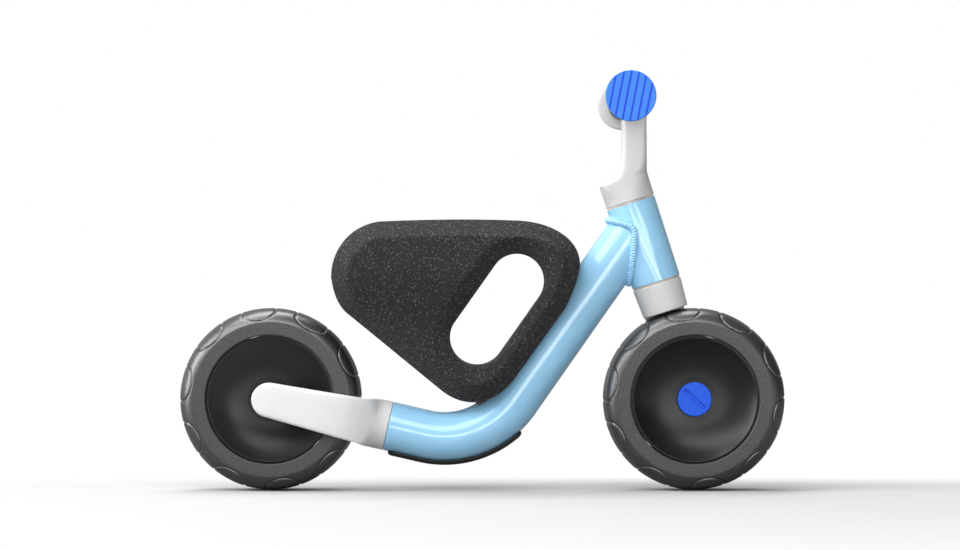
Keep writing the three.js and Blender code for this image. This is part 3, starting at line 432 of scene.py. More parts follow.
def mix_finishes(colours):
    """Every finish by its name, from the colours that can be set."""
    abs_skin = {"size": 0.7, "height": 0.02, "Roughness": 0.42, "Specular_IOR_Level": 0.3}
    nylon_skin = {
        "size": 0.9, "height": 0.05, "detail": 3, "mottle": 1.1, "Roughness": 0.52, "IOR": 1.5
    }
    nylon = "moulded nylon with eroded grain"
    return {
        # Wet-sprayed enamel: a clear, mirror-like coat over a saturated base, with the faint
        # long ripple that sprayed paint dries to
        "paint": grained(
            "gloss enamel on steel tube", tones(colours.paint, 0.97, 1.03), 14, 0.02, detail=1,
            Roughness=0.3, Specular_IOR_Level=0.08,
            Coat_Weight=1.0, Coat_Roughness=0.012, Coat_IOR=1.62,
        ),
        # Injection-moulded glass-filled nylon with a spark-eroded skin: even and matte, with a
        # fine sand grain (0.5 mm, drawn coarser so that it shows) and faint flow mottling
        "plastic": grained(nylon, tones(colours.plastic, 0.955, 1.03), **nylon_skin),
        # The arm: the same nylon painted lighter, painted light for the brighter light that falls
        # on it
        "arm": grained(nylon, tones(colours.arm, 0.955, 1.03), **nylon_skin),
        "foam": bead_foam(colours.foam, colours.fleck),
        # Foamed EVA rubber from a blasted mould: matte, slightly dusty, with a pebble grain
        "tyre": grained(
            "foamed rubber tyre", tones(colours.tyre, 0.68, 1.32), 1.9, 0.3, detail=4,
            Roughness=0.5, IOR=1.55,
        ),
        # The same rubber where the mould is polished: smooth, blacker, with a broad soft sheen
        # that turns pale where it faces the light
        "tread": grained(
            "smooth tread rubber", tones(colours.tyre, 0.16, 0.26), 1.2, 0.03,
            Roughness=0.37, IOR=2.15,
        ),
        # Moulded polypropylene with a satin skin: nearly black, with soft broad highlights
        "hub": grained(
            "satin black polypropylene", tones(colours.hub, 0.9, 1.1), 0.8, 0.025,
            Roughness=0.33, Specular_IOR_Level=0.38,
        ),
        # Injection-moulded ABS, self-coloured: saturated, semi-matte, with a very fine grain
        "blue": grained("blue ABS", tones(colours.blue, 0.95, 1.05), **abs_skin),
        "bar_end": grained("light blue ABS", tones(colours.bar_end, 0.95, 1.05), **abs_skin),
        # The same self-coloured ABS with painted shade: darker where shade falls in the grooves
        "groove": grained(
            "blue ABS with painted groove shade", tones(colours.bar_groove_shade, 0.95, 1.05), **abs_skin
        ),
        # Compression-moulded natural rubber: black, soft-looking, faintly grained
        "rubber": grained(
            "moulded black rubber", (linear("#121213"), linear("#1B1B1C")), 0.8, 0.04,
            Roughness=0.55, IOR=1.52,
        ),
        # Turned acetal bush: ivory and waxy
        "bush": grained(
            "ivory acetal", (linear("#DDC9B4"), linear("#E9D8C6")), 1.5, 0.01, detail=1,
            Roughness=0.4, IOR=1.48,
        ),
        # Bright zinc plating: a greyish mirror, broken up by the plating's fine crystals
        "steel": grained(
            "zinc plated steel", (linear("#AEB1B5"), linear("#C9CCD0")), 0.6, 0.01, detail=3,
            Metallic=1.0, Roughness=0.3,
        ),
        # Machined brass: warm yellow metal with fine tool marks
        "brass": grained(
            "machined brass", (linear("#B98E3D"), linear("#D3AE5C")), 0.6, 0.01,
            Metallic=1.0, Roughness=0.35,
        ),
    }


class BIKE_OT_materials(Operator):
    """Mix the finishes and give them to the CAD pieces that stay as they are"""

    bl_idname = "bike.materials"
    bl_label = "Materials"

    def execute(self, context):
        finishes.update(mix_finishes(context.scene.bike_colours))
        kept = {
            "steel": (
                "arm_screw_rear", "arm_screw_front", "seat_bolt_rear", "seat_bolt_front",
                "steerer_tube", "steering_stop_pin", "steering_bolt", "handlebar_tube",
                "rear_axle", "front_axle",
                "rear_bearing_left", "rear_bearing_right", "rear_bearing_spacer",
                "front_bearing_left", "front_bearing_right", "front_bearing_spacer",
            ),
            "brass": ("stem_insert",),
            "hub": ("seat_insert",),
        }
        for finish, names in kept.items():
            for name in names:
                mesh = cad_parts[name].data
                mesh.materials.clear()
                mesh.materials.append(finishes[finish])
        return {"FINISHED"}


# --------------------------------------------------------------------- tyres
def tread_radius(y):
    """Radius of the crowned tread at a distance y from the wheel's middle."""
    return WHEEL_RADIUS - (TREAD_CROWN - np.sqrt(TREAD_CROWN**2 - y**2))


def tyre_profile():
    """Radius, |y| and run of the tyre's outside from the inner rim over the face, the
    shoulder (halfway between a quarter ellipse and a chamfer) and the crowned tread to the
    middle. Run is 0 at the face's edge."""
    face = np.array(
        [
            [HUB_RADIUS, HALF_WHEEL - 2.6],
            [HUB_RADIUS, HALF_WHEEL - 1.0],
            [HUB_RADIUS + 0.1, HALF_WHEEL - 0.9],
            [HUB_RADIUS + 0.9, HALF_WHEEL - 0.1],
            [HUB_RADIUS + 1.1, HALF_WHEEL],
            [HUB_RADIUS + 1.7, HALF_WHEEL],
            [HUB_RADIUS + 4, HALF_WHEEL],
            [HUB_RADIUS + 8, HALF_WHEEL],
            [FACE_RADIUS - 1.2, HALF_WHEEL],
            [FACE_RADIUS - 0.5, HALF_WHEEL - 0.05],
        ]
    )
    turn = np.linspace(0, math.pi / 2, 26)
    slope = np.linspace(0, 1, 26)
    outward = (np.sin(turn) + slope) / 2
    inward = (np.cos(turn) + 1 - slope) / 2
    rise = tread_radius(SHOULDER_START) - FACE_RADIUS
    drop = HALF_WHEEL - 0.2 - SHOULDER_START
    curve = np.stack([FACE_RADIUS + rise * outward, SHOULDER_START + drop * inward], axis=1)
    y = np.linspace(SHOULDER_START, 0, 27)[1:]
    outline = np.concatenate([face, curve, np.stack([tread_radius(y), y], axis=1)])
    run = run_along(outline)
    return outline, run - run[len(face)]


def pad_relief(round_run, across_run, half_length, depth):
    """Depth below the tyre's surface round one tread pad. The pad's outline is a half ellipse
    on the shoulder that runs straight over the tread; d is the distance outside it. A groove
    follows the outline, steep on the pad's side and easing out over 2.6 mm outside."""
    end_run, end_reach = 13.5, 10.8
    bow = np.hypot(round_run / half_length, np.maximum(end_run - across_run, 0) / end_reach)
    d = (bow - 1) * np.where(across_run < end_run, 13.0, half_length)
    inside = smoothstep(-0.5, 0.5, d)
    outside = 1 - smoothstep(0.55, 2.9, d) ** 0.7
    return depth * inside * outside - 0.15 * (1 - smoothstep(-2.5, -0.2, d))


def tyre_sheet(axle, sizes):
    """The tyre as a grid of its profile, mirrored left and right, by the angle round the axle,
    pushed in along the profile's normal by the pads' relief."""
    outline, run = tyre_profile()
    profile = np.concatenate([outline, outline[:-1][::-1] * np.array([1, -1])])
    runs = np.concatenate([run, run[:-1][::-1]])[:, None]
    tangent = np.gradient(profile, axis=0)
    normal = unit(np.stack([-tangent[:, 1], tangent[:, 0]], axis=1))
    angle = full_turn(720)
    pitch = 2 * math.pi / sizes.tread_pads
    first = math.radians(26)
    from_pad = (angle - first + pitch / 2) % pitch - pitch / 2
    round_run = np.abs(from_pad)[None, :] * WHEEL_RADIUS
    relief = pad_relief(round_run, runs, sizes.pad_length / MM / 2, sizes.groove_depth / MM)
    relief = np.maximum(relief * smoothstep(0.0, 2.0, runs), 0)
    radius, across = (profile[:, i, None] - relief * normal[:, i, None] for i in (0, 1))
    around = np.stack([radius * np.cos(angle), across, radius * np.sin(angle)], axis=-1)
    return axle + around, True, True


class BIKE_OT_tyres(Operator):
    """Make both tyres with their tread pads"""

    bl_idname = "bike.tyres"
    bl_label = "Tyres"

    def execute(self, context):
        for end, axle in (("front", FRONT_AXLE), ("rear", REAR_AXLE)):
            tyre = add_piece(
                f"{end}_tyre_skin", [tyre_sheet(axle, context.scene.bike_sizes)], "tyre",
                f"{end}_wheel", [f"{end}_tyre"], sharp=50, second="tread",
            )

            def tread(middle):
                spoke = middle - axle
                return np.hypot(spoke[:, 0], spoke[:, 2]) > FACE_RADIUS + 0.1

            second_finish(tyre.data, tread)
        return {"FINISHED"}


# ---------------------------------------------------------------------- hubs
def hub_section():
    """Section of the hub, mirrored left and right: groove against the tyre, narrow lip, a bowl
    whose height grows as the radius to the power 3.4, so that it is nearly flat at the centre,
    and the bearing's seat."""
    radius = np.linspace(HUB_LIP, 21.0, 48)
    bowl = HUB_FACE + (HALF_WHEEL - 0.8 - HUB_FACE) * (radius / HUB_LIP) ** 3.4
    rim = [
        [HUB_RADIUS - 0.3, HALF_WHEEL - 6],
        [HUB_RADIUS - 0.3, HALF_WHEEL - 3.2],
        [HUB_RADIUS - 1.5, HALF_WHEEL - 3.0],
        [HUB_RADIUS - 1.75, HALF_WHEEL - 0.9],
        [HUB_RADIUS - 2.1, HALF_WHEEL - 0.5],
        [HUB_LIP + 0.3, HALF_WHEEL - 0.55],
    ]
    centre = [
        [19.0, HUB_FACE + 0.1], [14.6, HUB_FACE], [14.2, HUB_FACE - 0.4], [14.2, 8.0], [11.0, 8.0]
    ]
    half = np.concatenate([rim, np.stack([radius, bowl], axis=1), centre])
    return np.concatenate([half, half[::-1] * np.array([1, -1])])


class BIKE_OT_hubs(Operator):
    """Make both wheel discs, dished on both sides"""

    bl_idname = "bike.hubs"
    bl_label = "Hubs"

    def execute(self, context):
        for end, axle in (("front", FRONT_AXLE), ("rear", REAR_AXLE)):
            disc = turned(hub_section(), axle, LEFT, 144)
            add_piece(f"{end}_hub_disc", [disc], "hub", f"{end}_wheel", [f"{end}_hub"])
        return {"FINISHED"}


# ------------------------------------------------------ slotted and ribbed discs
def chord_columns(count):
    """Places along a chord, closer together at its ends."""
    return np.sin(np.linspace(-math.pi / 2, math.pi / 2, count))


def slab_disc(radius, thickness, rows, columns, relief, rim):
    """A disc as chords: P = (u sqrt(R^2 - v^2), v), u from -1 to 1, at height thickness less
    the relief and less the rounding of the rim. Each chord's loop closes along the back.
    Gives (along the chord, across the chords, height)."""
    v = rows[:, None]
    reach = np.sqrt(np.maximum(radius**2 - v**2, 0))
    along = columns * reach
    across = v + 0 * along
    out = np.clip((np.hypot(along, across) - (radius - rim)) / rim, 0, 1)
    height = thickness - rim * (1 - np.sqrt(1 - out**2)) - relief(along, across)
    back = columns[::-1][[0, -1]] * reach
    points = np.stack([along, across, height], axis=-1)
    under = np.stack([back, v + 0 * back, 0 * back], axis=-1)
    return np.concatenate([points, under], axis=1)


def place_disc(points, centre, along, across, out):
    """Turns a disc's own (along, across, height) into space."""
    placed = points[..., 0:1] * along + points[..., 1:2] * across + points[..., 2:3] * out
    return centre + placed, False, True


def slot_relief(along, across):
    """A slot with round ends: its depth inside a stadium, with walls 0.3 mm wide."""
    straight = (CAP_SLOT["length"] - CAP_SLOT["width"]) / 2
    d = np.hypot(np.maximum(np.abs(along) - straight, 0), across) - CAP_SLOT["width"] / 2
    return CAP_SLOT["depth"] * (1 - smoothstep(-0.3, 0.0, d))


def groove_relief(along, across):
    """Parallel grooves: their depth near each groove's middle line, with walls 0.25 mm wide."""
    pitch, count = END_GROOVE["pitch"], END_GROOVE["count"]
    shift = across / pitch + (count % 2 == 0) * 0.5
    d = np.abs(shift - np.round(shift)) * pitch - END_GROOVE["width"] / 2
    inside = np.abs(across) < count * pitch / 2
    return END_GROOVE["depth"] * (1 - smoothstep(-0.25, 0.0, d)) * inside


def wall_rows(chords, lines, half_width, edge):
    """Rows of a disc: its chords, and the places where each groove's walls need them."""
    walls = [line + side * (half_width + edge) for line in lines for side in (-1, 1)]
    return np.unique(np.round(np.concatenate([chords, *walls]), 4))


class BIKE_OT_axle_caps(Operator):
    """Make the slotted cap on each wheel's free side"""

    bl_idname = "bike.axle_caps"
    bl_label = "Axle caps"

    def execute(self, context):
        edge = np.linspace(-0.35, 0.05, 5)
        chords = np.append(chord_columns(60) * CAP_RADIUS, 0.0)
        rows = wall_rows(chords, [0.0], CAP_SLOT["width"] / 2, edge)
        disc = slab_disc(CAP_RADIUS, CAP_THICKNESS, rows, chord_columns(150), slot_relief, 0.9)
        along = np.array([math.cos(CAP_SLOT_TILT), 0.0, -math.sin(CAP_SLOT_TILT)])
        shank = [[0, -14.0], [3.1, -14.0], [3.1, -0.5], [7.5, -0.5], [7.5, 0.5], [0, 0.5]]
        for end, axle, out in (("front", FRONT_AXLE, -LEFT), ("rear", REAR_AXLE, LEFT)):
            centre = axle + out * (HUB_FACE + 0.6)
            sheets = [
                place_disc(disc, centre, along, np.cross(out, along), out),
                turned(shank, centre, out, 32, closed=False),
            ]
            body = "steering" if end == "front" else "frame"
            add_piece(f"{end}_cap_disc", sheets, "blue", body, [f"{end}_axle_cap"])
        return {"FINISHED"}


# --------------------------------------------------------------- frame tubes
STUB_RUN = np.array([math.cos(STUB_INCLINE), 0.0, -math.sin(STUB_INCLINE)])
DOWN_RUN = np.array([math.cos(DOWN_ANGLE), 0.0, math.sin(DOWN_ANGLE)])
BEND_ANGLE = STUB_INCLINE + DOWN_ANGLE


def bend_places():
    """Start, end and centre of the bend between the stub's line and the down tube's line."""
    between = JUNCTION - STUB_JOINT
    crossing = STUB_RUN[0] * DOWN_RUN[2] - STUB_RUN[2] * DOWN_RUN[0]
    reach = (between[0] * DOWN_RUN[2] - between[2] * DOWN_RUN[0]) / crossing
    corner = STUB_JOINT + reach * STUB_RUN
    leg = BEND_RADIUS * math.tan(BEND_ANGLE / 2)
    start = corner - leg * STUB_RUN
    centre = start + BEND_RADIUS * np.array([math.sin(STUB_INCLINE), 0.0, math.cos(STUB_INCLINE)])
    return start, corner + leg * DOWN_RUN, centre


BEND_START, BEND_END, BEND_CENTRE = bend_places()
STUB_LENGTH = np.linalg.norm(BEND_START - STUB_JOINT)
ARC_LENGTH = BEND_RADIUS * BEND_ANGLE


def tube_station(run):
    """Centre and upward normal of the frame's centre line, run mm from the joint: a straight,
    an arc of the bend's radius, and a straight."""
    run = np.asarray(run, dtype=float)[:, None]
    turn = np.clip((run - STUB_LENGTH) / BEND_RADIUS, 0, BEND_ANGLE) - STUB_INCLINE
    normal = np.concatenate([-np.sin(turn), 0 * turn, np.cos(turn)], axis=1)
    centre = BEND_CENTRE - BEND_RADIUS * normal
    before = np.minimum(run - STUB_LENGTH, 0)
    after = np.maximum(run - STUB_LENGTH - ARC_LENGTH, 0)
    return centre + before * STUB_RUN + after * DOWN_RUN, normal


def square_to_steering(vectors):
    """What is left of vectors without their share along the steering axis."""
    return vectors - (vectors @ STEER_UP)[..., None] * STEER_UP


def to_head_tube(points, gap):
    """Distance along the down tube's direction from each point to the head tube's surface
    grown by a gap: the nearer root of |a + t b|^2 = R^2 with a and b square to the axis."""
    a = square_to_steering(points - FRONT_AXLE)
    b = square_to_steering(DOWN_RUN)
    square = b @ b
    half = a @ b
    rest = (a * a).sum(axis=-1) - (HEAD_RADIUS + gap) ** 2
    return (-half - np.sqrt(np.maximum(half**2 - square * rest, 0))) / square


def frame_tube_sheet():
    """A round section carried along the centre line; its last straight is cut to the head
    tube's surface, and both ends close."""
    angle = full_turn(96)[:, None]

    def ring(run, radius, narrow=1.0):
        centre, normal = tube_station([run])
        return centre + radius * (np.cos(angle) * normal + narrow * np.sin(angle) * LEFT)

    def to_end(share, radius, narrow):
        foot = ring(STUB_LENGTH + ARC_LENGTH, radius, narrow)
        return foot + (share * to_head_tube(foot, NECK_GAP))[:, None] * DOWN_RUN

    inside = TUBE_RADIUS - TUBE_WALL
    mouth = [
        (6.0, 0.0), (6.0, inside), (0.3, inside), (0.0, TUBE_RADIUS - 1.4),
        (0.0, TUBE_RADIUS - 0.5), (0.15, TUBE_RADIUS - 0.15), (0.5, TUBE_RADIUS),
        (3.0, TUBE_RADIUS),
    ]
    rings = [ring(run, radius) for run, radius in mouth]
    rings += [ring(STUB_LENGTH + run, TUBE_RADIUS) for run in np.linspace(0, ARC_LENGTH, 57)]
    rings += [
        to_end(share, TUBE_RADIUS, 1 - (1 - NECK) * smoothstep(0.45, 1.0, share))
        for share in np.linspace(0, 1, 25)[1:]
    ]
    rings += [to_end(1.0, TUBE_RADIUS * share, NECK) for share in (0.7, 0.35, 0.0)]
    return np.array(rings), False, True


def weld_sheet(pitch):
    """A round bead carried along the joint of the two tubes. Its radius and its leaning
    crescents follow a wave along the joint, like a row of overlapping coins."""
    grow = 1.5  # from both tubes' surfaces to the bead's centre line
    angle = full_turn(1400)[:, None]
    centre, normal = tube_station([STUB_LENGTH + ARC_LENGTH])
    spoke = np.cos(angle) * normal + 0.975 * np.sin(angle) * LEFT
    foot = centre + (TUBE_RADIUS + grow) * spoke
    joint = foot + to_head_tube(foot, grow)[:, None] * DOWN_RUN
    steps = 900
    path, total = evenly_spaced(joint, steps)
    for _ in range(6):
        path = (np.roll(path, 1, axis=0) + 2 * path + np.roll(path, -1, axis=0)) / 4
    travel = unit(np.roll(path, -1, axis=0) - np.roll(path, 1, axis=0))
    outward = unit(square_to_steering(path - FRONT_AXLE))
    side = unit(np.cross(travel, outward))
    lift = np.cross(side, travel)
    around = full_turn(20)[:, None]
    crescent = 0.22 * np.cos(around.T) ** 2
    phase = np.linspace(0, round(total / pitch), steps, endpoint=False)[:, None] + crescent
    radius = 2.6 + 0.95 * np.abs(np.sin(math.pi * phase)) ** 0.8
    spokes = np.cos(around) * lift[:, None] + np.sin(around) * side[:, None]
    return path[:, None] + radius[..., None] * spokes, True, True


def bumper_sheet():
    """A strip of arc section under the bend. Thickness and width ease to nothing at the ends
    as the root of a circle, so that the ends are round."""
    start, end = 4.8, STUB_LENGTH + 0.83 * ARC_LENGTH
    share = (1 - np.cos(np.linspace(0, math.pi, 110))) / 2
    run = start + share * (end - start)
    centre, normal = tube_station(run)
    from_end = np.minimum(run - start, end - run)[:, None]
    narrow, thin = (
        np.sqrt(np.clip(1 - (1 - np.clip(from_end / length, 0, 1)) ** 2, 0, 1))
        for length in (10, 4)
    )
    across, up = superellipse(full_turn(48), 3.2)
    angle = (math.radians(26) * across * (0.35 + 0.65 * narrow))[..., None]
    radius = TUBE_RADIUS + 0.3 + 1.65 + 1.6 * up * thin - 1.5 * (1 - thin)
    spoke = -np.cos(angle) * normal[:, None] + np.sin(angle) * LEFT
    return centre[:, None] + radius[..., None] * spoke, False, True


class BIKE_OT_frame_tubes(Operator):
    """Make the bent frame tube, the head tube, the weld and the strip under the bend"""

    bl_idname = "bike.frame_tubes"
    bl_label = "Frame tubes"

    def execute(self, context):
        tube, bead = frame_tube_sheet(), weld_sheet(context.scene.bike_sizes.weld_ripple / MM)
        outer, inner = HEAD_RADIUS, HEAD_RADIUS - HEAD_WALL
        wall = [[inner, 0], [outer, 0], [outer, HEAD_LENGTH], [inner, HEAD_LENGTH]]
        head = turned(rounded(wall), FRONT_AXLE + HEAD_START * STEER_UP, STEER_UP, 128)
        add_piece("frame_tube_skin", [tube], "paint", "frame", ["frame_tube"], sharp=40)
        add_piece("head_tube_skin", [head], "paint", "frame", ["head_tube"], sharp=40)
        add_piece("weld_bead_skin", [bead], "paint", "frame", ["weld_bead"], sharp=0)
        add_piece("bumper_strip", [bumper_sheet()], "rubber", "frame", ["frame_bumper"])
        bore, edge, thick = 15.0, HEAD_RADIUS - 0.55, 1.2
        flange = rounded([[bore, 0], [edge, 0], [edge, thick], [bore, thick]], 0.25, 2)
        for end, at in (("upper", HEAD_START + HEAD_LENGTH + 0.3), ("lower", HEAD_START - 1.5)):
            ring = turned(flange, FRONT_AXLE + at * STEER_UP, STEER_UP)
            add_piece(f"headset_ring_{end}", [ring], "bush", "frame", [f"headset_bush_{end}"])
        return {"FINISHED"}


# ------------------------------------------------------------------ rear arm
def arm_sheet():
    """Closed sections carried from the round end at the axle to the joint with the tube. A
    section is a superellipse that runs from a flat plate beside the wheel to the tube's
    circle: its outer face, inner face, half height and power follow smooth curves."""
    line = STUB_JOINT - REAR_AXLE
    total = np.linalg.norm(line)
    direction = line / total
    up = np.array([-direction[2], 0.0, direction[0]])
    plate_end = total - 48.0
    run = np.concatenate(
        [
            -(ARM_END - 0.05) * np.cos(np.linspace(0, math.pi / 2, 14)),
            np.linspace(2, plate_end, 30),
            np.linspace(plate_end, total - 0.15, 34)[1:],
        ]
    )
    blend = smoothstep(total - 30.0, total - 8.0, run)
    before_joint = np.array([116.0, 62.0, 40.0, 27.0, 14.0, 5.0, 0.0])
    face_out = [49.4, 46.4, 42.9, 37.3, 29.0, 24.6, TUBE_RADIUS]
    outer = -smoothed(np.interp(run, total - before_joint, face_out), 12)
    beside_tyre = 35.6
    turn_in = smoothstep(total - 27.0, total - 8.0, run)
    inner = -beside_tyre + (beside_tyre + TUBE_RADIUS) * turn_in
    end_round = np.sqrt(np.maximum(ARM_END**2 - np.minimum(run, 0) ** 2, 0))

    def edge(slope):
        grown = end_round + np.maximum(run, 0) * math.tan(math.radians(slope)) * 1.12
        return np.minimum(grown, TUBE_RADIUS) * (1 - blend) + TUBE_RADIUS * blend

    high, low = edge(3.2), edge(2.7)
    power = 6.5 - 4.5 * smoothstep(0.0, 0.9, blend)
    a, b = superellipse(full_turn(120), power[:, None])
    thick = ((inner - outer) / 2)[:, None] * a + ((outer + inner) / 2)[:, None]
    tall = ((high + low) / 2)[:, None] * b + ((high - low) / 2)[:, None]
    along = run[:, None, None] * direction
    return capped(REAR_AXLE + along + tall[..., None] * up + thick[..., None] * LEFT)


def clear_of_tyre(points, axle, gap):
    """Moves points out of the tyre's room: those inside the tyre's outline grown by a gap go
    out along their spoke to it."""
    from_axle = points - axle
    radius = np.hypot(from_axle[:, 0], from_axle[:, 2])
    y = np.abs(from_axle[:, 1])
    outline, _ = tyre_profile()
    order = np.argsort(outline[:, 1])
    limit = np.interp(y, outline[order, 1], outline[order, 0])
    limit = np.where(y < HALF_WHEEL, limit, 0) + gap
    within = (y < HALF_WHEEL) & (radius < limit) & (radius > HUB_RADIUS)
    out = np.where(within, limit / np.maximum(radius, 1), 1)
    return axle + from_axle * np.stack([out, np.ones_like(out), out], axis=1)


class BIKE_OT_rear_arm(Operator):
    """Make the single-sided arm that carries the rear wheel"""

    bl_idname = "bike.rear_arm"
    bl_label = "Rear arm"

    def execute(self, context):
        rod = solid_rod(BOSS_RADIUS, HUB_FACE + 0.3, BOSS_END)
        boss = turned(rod, REAR_AXLE, -LEFT, 64, closed=False)
        mesh = fused("rear_arm_moulding", [arm_sheet(), boss], 0.8, 4)

        def trim(points):
            past = (points - STUB_JOINT) @ STUB_RUN
            return points - np.maximum(past + 0.3, 0)[:, None] * STUB_RUN

        move_points(mesh, trim)
        # Its finish is the nylon painted lighter for the light that falls on the arm
        add_piece("rear_arm_moulding", mesh, "arm", "frame", ["rear_arm"], sharp=0)
        return {"FINISHED"}


# ------------------------------------------------------------- fork and stem
def fork_leg_sheet():
    """A flat superellipse carried down a line in the fork's plane: out of the crown, round a
    quarter bend and straight down, ending in a half circle round the axle."""
    middle, thick, wide = 42.0, 6.5, ARM_END
    bend, bend_top = 34.0, 66.0
    turn = np.linspace(math.pi / 2, 0, 30)
    end_turn = np.linspace(0, math.pi / 2, 14)[1:]
    straight = np.linspace(bend_top, 0, 30)[1:]
    start_y = np.linspace(0, middle - bend, 8)[:-1]
    down = np.concatenate([straight, -wide * np.sin(end_turn)])
    y = np.concatenate([start_y, middle - bend + bend * np.cos(turn), np.full(down.size, middle)])
    z = np.concatenate([np.full(7, bend_top + bend), bend_top + bend * np.sin(turn), down])
    heading = unit(np.stack([np.gradient(y), np.gradient(z)], axis=1))
    half_wide = np.sqrt(wide**2 - np.minimum(z, 0) ** 2) + 4.0 * smoothstep(50, 100, z)
    a, b = superellipse(full_turn(80), 4.5)
    forward = (half_wide[:, None] * a)[..., None]
    left = (y[:, None] + thick * b * heading[:, 1:2])[..., None]
    up = (z[:, None] - thick * b * heading[:, 0:1])[..., None]
    return capped(FRONT_AXLE + forward * STEER_FORWARD + left * LEFT + up * STEER_UP)


class BIKE_OT_fork(Operator):
    """Make the single-sided fork: the crown, the leg and its axle boss"""

    bl_idname = "bike.fork"
    bl_label = "Fork"

    def execute(self, context):
        crown = [
            [0, CROWN_START], [CROWN_RADIUS, CROWN_START], [HEAD_RADIUS, CROWN_TOP], [0, CROWN_TOP]
        ]
        boss = solid_rod(BOSS_RADIUS, HUB_FACE + 0.3, BOSS_END)
        sheets = [
            turned(crown, FRONT_AXLE, STEER_UP, 128, closed=False),
            fork_leg_sheet(),
            turned(boss, FRONT_AXLE, LEFT, 64, closed=False),
        ]
        mesh = fused("fork_moulding", sheets, 0.8, 3)
        move_points(mesh, lambda points: clear_of_tyre(points, FRONT_AXLE, gap=2.6))
        add_piece("fork_moulding", mesh, "plastic", "steering", ["fork"], sharp=0)
        return {"FINISHED"}


def stem_column_sheet():
    """Sections between a rear line and a front line. The rear line sweeps up from the collar's
    rear corner in a hollow curve; the front line goes straight up. Below them the collar grows
    from the steering's circle to the first section, a superellipse of power 3.6, and above it
    the power grows to that of a flat-sided column."""
    collar_top = FRONT_AXLE + (STEM_START + COLLAR_HEIGHT) * STEER_UP
    rear_start = collar_top - HEAD_RADIUS * STEER_FORWARD
    front_start = collar_top + HEAD_RADIUS * STEER_FORWARD
    rise_rear, rise_front = (BAR_AXIS - rear_start)[2], (BAR_AXIS - front_start)[2]
    knots = np.array([0, 0.2, 0.4, 0.58, 0.7, 1.0])
    t = np.linspace(0, 1, 40)
    rear_x, rear_z, front_x, front_z = (
        smoothed(np.interp(t, knots, start + np.array(steps)), 3)[:, None]
        for start, steps in (
            (rear_start[0], [0, 10.2, 17.5, 20.6, 21.4, 21.4]),
            (rear_start[2], [0, 5.4, 15.3, 27.0, 34.0, rise_rear]),
            (front_start[0], [0, -0.1, -0.3, -0.5, -0.6, -0.6]),
            (front_start[2], [0, 2.2, 6.0, 14.0, 22.0, rise_front]),
        )
    )
    height = (rear_z + front_z) / 2
    climb = (height - height[0]) / (height[-1] - height[0])
    half_y = HEAD_RADIUS + (15.0 - HEAD_RADIUS) * smoothstep(0.0, 1.0, climb) ** 1.2
    power = 3.6 + 4.4 * smoothstep(0.0, 0.4, climb)
    angle = full_turn(120)
    a, b = superellipse(angle, power)
    x = (rear_x + front_x) / 2 + (front_x - rear_x) / 2 * a
    z = height + (front_z - rear_z) / 2 * a
    column = np.stack([x, half_y * b, z], axis=-1)
    angle = angle[:, None]
    spoke = np.cos(angle) * STEER_FORWARD + np.sin(angle) * LEFT
    circle = collar_top + HEAD_RADIUS * spoke
    reach = COLLAR_HEIGHT - 0.2
    drop = np.linspace(reach, 0, 12, endpoint=False)[:, None, None]
    share = 1 - smoothstep(0.0, reach, drop)
    collar = circle + (column[0] - circle) * share - drop * STEER_UP
    return capped(np.concatenate([collar, column]))


class BIKE_OT_stem(Operator):
    """Make the moulded stem: collar, column and the barrel that holds the bar"""

    bl_idname = "bike.stem"
    bl_label = "Stem"

    def execute(self, context):
        collar = solid_rod(HEAD_RADIUS, STEM_START, STEM_START + COLLAR_HEIGHT)
        barrel = solid_rod(BARREL["radius"], -BARREL["half_length"], BARREL["half_length"])
        sheets = [
            turned(collar, FRONT_AXLE, STEER_UP, 128, closed=False),
            stem_column_sheet(),
            turned(barrel, BAR_AXIS, LEFT, 96, closed=False),
        ]
        mesh = fused("stem_moulding", sheets, 0.7, 3)
        add_piece("stem_moulding", mesh, "plastic", "steering", ["stem"], sharp=0)
        return {"FINISHED"}


# ------------------------------------------------------------- bar and grips
def grip_section():
    """Half section of a sleeve with four rounded ribs."""
    low, high = GRIP["start"], GRIP["end"]
    y = np.linspace(low + 0.4, high, 160)
    pitch = (high - low) / 4
    wave = np.abs(((y - low) / pitch) % 1 - 0.5) * 2
    radius = GRIP["radius"] - GRIP["groove"] * smoothstep(0.72, 0.95, wave)
    skin = np.stack([radius, y], axis=1)
    return np.concatenate(
        [[[BAR_TUBE_ROOM, low]], [[GRIP["radius"] - 1.3, low]], skin, [[BAR_TUBE_ROOM, high]]]
    )


def end_disc():
    """The ribbed disc on the bar's end, with rows of points along each groove's walls."""
    radius, thickness = END_DISC["radius"], END_DISC["thickness"]
    count = END_GROOVE["count"]
    lines = (np.arange(count) - (count - 1) / 2) * END_GROOVE["pitch"]
    edge = np.array([-0.3, -0.15, 0.0, 0.1])
    rows = wall_rows(chord_columns(40) * radius, lines, END_GROOVE["width"] / 2, edge)
    rows = rows[np.abs(rows) <= radius]
    return slab_disc(radius, thickness, rows, chord_columns(70), groove_relief, 0.7)


